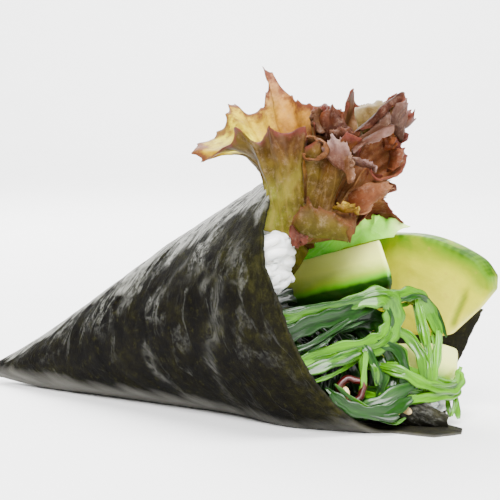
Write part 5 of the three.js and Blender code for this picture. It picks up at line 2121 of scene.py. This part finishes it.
@dataclass
class Rice:
    """The rice: a packed core, the lumps that reach the mouth and the grains on them.

    Attributes:
        top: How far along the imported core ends.
        bump: Height of the swellings of its front.
        lumps: The middle, the half sizes and the number of grains of each lump.
        face_grains: Number of grains on the core's front.
        length: Of a grain.
        thick: Of a grain.
        clearance: Of the core from the nori.
        room: Of the grains' middles from the nori.
        seed: Of the random draws.
    """

    top: float = -16.0
    bump: float = 1.1
    lumps: tuple[tuple[Point, Point, int], ...] = (
        ((-2.6, 20.2, 10), (4.4, 5.6, 4.4), 18),
        ((-4.2, 20, 5.8), (3.8, 5.2, 4.2), 12),
        ((-14, 16, 10), (8, 8, 8), 14),
        ((1, -8, -25.5), (13.5, 6.5, 4.2), 46),
        ((-12, -6, -19), (10, 9, 7), 20),
    )
    face_grains: int = 150
    length: float = 6.4
    thick: float = 2.3
    clearance: float = 1.3
    room: float = 2.2
    seed: int = 7

    def add_grain(self, draft: Draft, centre: Array, way: Array, random: np.random.Generator) -> None:
        """Adds one grain.

        Args:
            draft: The rice's mesh.
            centre: Its middle.
            way: Which way it lies.
            random: Draws its size and bow.
        """
        lift, around = ball_grid(12, 12, 0.1)
        long = 0.5 * self.length * random.uniform(0.8, 1.08)
        wide = 0.5 * self.thick * random.uniform(0.9, 1.1)
        side = unit(np.cross(way, random.normal(size=3)))
        other = np.cross(way, side)
        bow = 0.12 * self.length * np.sin(lift) ** 2
        girth = wide * np.sin(lift) ** 0.8
        parts = (long * np.cos(lift), bow + girth * np.cos(around), 0.85 * girth * np.sin(around))
        grain = centre + np.stack(parts, axis=-1) @ np.stack([way, side, other])
        draft.add_tube(ROLL.keep_inside(grain, 1.0), caps=1)

    def add_core(self, draft: Draft) -> None:
        """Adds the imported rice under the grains.

        Args:
            draft: The rice's mesh.
        """
        around = np.linspace(0, 360, 72, endpoint=False)
        walls = np.linspace(10, (self.top + ROLL.mouth) / cos_sin(ROLL.half_angle)[0], 24)
        side = ROLL.settle(ROLL.on_cone(*grid(walls, around), self.clearance), self.clearance)
        inward, turned = grid(np.linspace(0, 0.98, 20), np.radians(around))
        swell = self.bump * np.sin(4 * turned + 5 * inward) * np.sin(7 * inward)
        along, near, up = side[-1].T
        front = np.stack([
            along + 3 * self.bump * inward + swell - 0.6, near * (1 - inward), up * (1 - inward),
        ], axis=-1)
        draft.add_tube(np.concatenate([side, front]), caps=1)
        out = ball(*ball_grid(20, 30, 0.05))
        for centre, radii, _ in self.lumps:
            lump = np.array(centre) + out * (np.array(radii) - 0.9)
            draft.add_tube(ROLL.keep_inside(lump, 1.2), caps=1)

    def add_grains(self, draft: Draft, random: np.random.Generator) -> None:
        """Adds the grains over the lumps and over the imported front.

        Args:
            draft: The rice's mesh.
            random: Draws how they lie.
        """
        for centre, radii, count in self.lumps:
            for k in range(count):
                lift = 1 - 1.5 * (k + 0.5) / count
                ring = math.sqrt(max(1 - lift * lift, 0))
                angle = GOLDEN_ANGLE * k
                out = np.array([lift, ring * math.cos(angle), ring * math.sin(angle)])
                place = np.array(centre) + out * (np.array(radii) - 1.5)
                way = unit(np.cross(out, random.normal(size=3) + np.array([0, 0, 0.8])))
                self.add_grain(draft, ROLL.keep_inside(place, self.room), way, random)
        reach = (ROLL.mouth + self.top) * math.tan(math.radians(ROLL.half_angle)) - 2.5
        for k in range(self.face_grains):
            radius = reach * math.sqrt((k + 0.5) / self.face_grains)
            angle = GOLDEN_ANGLE * k
            along = self.top + 1.2 + random.uniform(-0.5, 0.8)
            place = np.array([along, radius * math.cos(angle), radius * math.sin(angle)])
            way = unit(np.array([0.35, 1, 1]) * random.normal(size=3))
            self.add_grain(draft, ROLL.keep_inside(place, self.room), way, random)

    def build(self, finish: PlainFinish) -> Object:
        """Makes the rice.

        Args:
            finish: Of the grains.

        Returns:
            The piece.
        """
        random = np.random.default_rng(self.seed)
        draft = Draft()
        self.add_core(draft)
        self.add_grains(draft, random)
        return draft.piece("rice_grains", [finish.material()], "rice")


# ---- The studio ----


@dataclass(frozen=True)
class Softbox:
    """A soft lamp.

    Attributes:
        name: Of the lamp.
        azimuth: Degrees round the roll, as for the camera.
        elevation: Degrees above the table.
        distance: From its target, in metres.
        size: Across, in metres.
        power: In watts.
        behind: How far behind the roll its target is, in metres.
    """

    name: str
    azimuth: float
    elevation: float
    distance: float
    size: float
    power: float
    behind: float = 0.0

    def place(self, target: Vector) -> None:
        """Hangs the lamp.

        Args:
            target: The middle of the roll, in metres.
        """
        light = bpy.data.lights.new(self.name, "AREA")
        light.size = self.size
        light.energy = self.power
        lamp = on_table(self.name, light)
        away = bearing(self.azimuth, self.elevation)
        lamp.location = target - self.behind * bearing(self.azimuth, 0) + self.distance * away
        lamp.rotation_euler = away.to_track_quat("Z", "Y").to_euler()


def bearing(azimuth: float, elevation: float) -> Vector:
    """Direction of a bearing in degrees: azimuth 0 is -Y, 90 is +X."""
    (ahead, aside), (level, rise) = cos_sin(azimuth), cos_sin(elevation)
    return Vector((aside * level, -ahead * level, rise))


@dataclass(frozen=True)
class Studio:
    """The pale table that sweeps up behind the roll, the lamps and the camera.

    Attributes:
        azimuth: Degrees round to the camera.
        elevation: Degrees of the camera above its aim.
        distance: Of the camera from its aim, in millimetres.
        lens: Focal length, in millimetres.
        sensor: Its width, in millimetres.
        aim: What the camera points at, in millimetres.
        floor_half: Half the table's width, in metres like the next four.
        floor_front: How far the table comes forward.
        sweep_start: Where it starts to bend up.
        sweep_radius: Of the bend.
        wall: Height of the upright part.
        floor_colour: Of the table.
        sky: Strength of the even light.
        lamps: The soft lamps.
    """

    azimuth: float = 34.285
    elevation: float = 4.781
    distance: float = 470.0
    lens: float = 159.048
    sensor: float = 36.0
    aim: Point = (8.655, -0.45, 33.996)
    floor_half: float = 2.0
    floor_front: float = 1.5
    sweep_start: float = 0.9
    sweep_radius: float = 0.8
    wall: float = 1.2
    floor_colour: Colour = (0.9, 0.9, 0.9)
    sky: float = 0.36
    lamps: tuple[Softbox, ...] = (
        Softbox("key_above", 110, 66, 0.8, 0.5, 14),
        Softbox("rim_behind", 235, 42, 0.7, 0.5, 12),
        Softbox("fill_left", -50, 22, 1.0, 0.5, 1.1),
        Softbox("fill_front", 30, 38, 0.9, 0.45, 24),
        Softbox("backdrop", 34, 50, 1.1, 0.6, 34, 1.6),
    )

    def set_camera(self) -> None:
        """Places the camera."""
        data = bpy.data.cameras.new("camera")
        data.lens = self.lens
        data.sensor_width = self.sensor
        data.clip_start = 0.01
        camera = on_table("camera", data)
        back = bearing(self.azimuth, self.elevation)
        camera.location = MM * (Vector(self.aim) + self.distance * back)
        camera.rotation_mode = "QUATERNION"
        camera.rotation_quaternion = back.to_track_quat("Z", "Y")
        bpy.context.scene.camera = camera

    def lay_floor(self) -> None:
        """Lays the table."""
        bend = np.linspace(0, 0.5 * math.pi, 16)
        back = [-self.floor_front, *(self.sweep_start + self.sweep_radius * np.sin(bend))]
        rise = [0.0, *(self.sweep_radius * (1 - np.cos(bend)))]
        back.append(back[-1])
        rise.append(rise[-1] + self.wall)
        away, side = -bearing(self.azimuth, 0), bearing(self.azimuth + 90, 0)
        points = [
            reach * away + hand * self.floor_half * side + Vector((0, 0, height))
            for reach, height in zip(back, rise) for hand in (-1, 1)
        ]
        mesh = bpy.data.meshes.new("table")
        mesh.from_pydata(points, [], grid_faces(len(back), 2).tolist())
        mesh.polygons.foreach_set("use_smooth", [True] * len(mesh.polygons))
        paint = Painter("table_top", 0.7)
        grain = paint.clouds(40, 3, 0.5, 0.3, 0.7, 0.0, 1.0)
        darker = tuple(0.985 * channel for channel in self.floor_colour)
        paint.colour(paint.mix(grain, self.floor_colour, darker))
        mesh.materials.append(paint.material)
        on_table("table", mesh)

    def light(self) -> None:
        """Lights the scene."""
        world = bpy.data.worlds.new("studio")
        world.use_nodes = True
        background = world.node_tree.nodes["Background"]
        background.inputs["Color"].default_value = (1, 1, 1, 1)
        background.inputs["Strength"].default_value = self.sky
        bpy.context.scene.world = world
        for lamp in self.lamps:
            lamp.place(MM * Vector(self.aim))

    def build(self) -> None:
        """Builds the studio."""
        self.set_camera()
        self.lay_floor()
        self.light()


def main() -> None:
    """Builds the studio and every piece of the roll in turn."""
    logging.basicConfig(level=logging.INFO, format="%(name)s: %(message)s")
    Studio().build()
    seed_finish = PlainFinish("seed", (0.62, 0.42, 0.16), (0.75, 0.56, 0.28), 0.35, 0.2, 0.2, 1.0)
    NoriWrap().build(NoriFinish())
    FrillyLeaf(
        "red_lettuce", "lettuce", "red_lettuce", LETTUCE_LOBES + LETTUCE_FOLDS, LETTUCE_TINTS, LETTUCE_BARS,
    ).build(LETTUCE_FINISH)
    FrillyLeaf(
        "green_leaf_frill", "green_leaf", "green_leaf", (GREEN_LOBE,), GREEN_TINTS,
    ).build(GREEN_FINISH)
    CucumberBaton(
        "cucumber_baton_front", "cucumber_front", start=(-42, -1.2, 3.2), end=(9.3, 0.3, 2.9),
        wide=9.2, deep=5.8, turn=21, bulge=1.2, slope=(0.35, 1),
    ).build(CucumberFinish("cucumber_front_cut"))
    CucumberBaton(
        "cucumber_baton_back", "cucumber_back", start=(-42, -3.5, -9.5), end=(14.4, -7.1, -19.9),
        wide=8.2, deep=10.8, turn=14, bulge=0.3, slope=(0, 0),
    ).build(CucumberFinish("cucumber_back_cut"))
    AvocadoSlice().build(AvocadoFinish())
    SeaweedSalad().build(SeaweedFinish(), seed_finish)
    skin_finish = PlainFinish("chilli_skin", (0.03, 0.001, 0.0005), (0.07, 0.0025, 0.001), 0.35, 0.05, 0.04)
    ChilliRing().build(skin_finish, seed_finish)
    Rice().build(PlainFinish("rice_grain", (0.92, 0.92, 0.87), (0.95, 0.95, 0.92), 0.4, 0.3, 0.1))


if __name__ == "__main__":
    main()
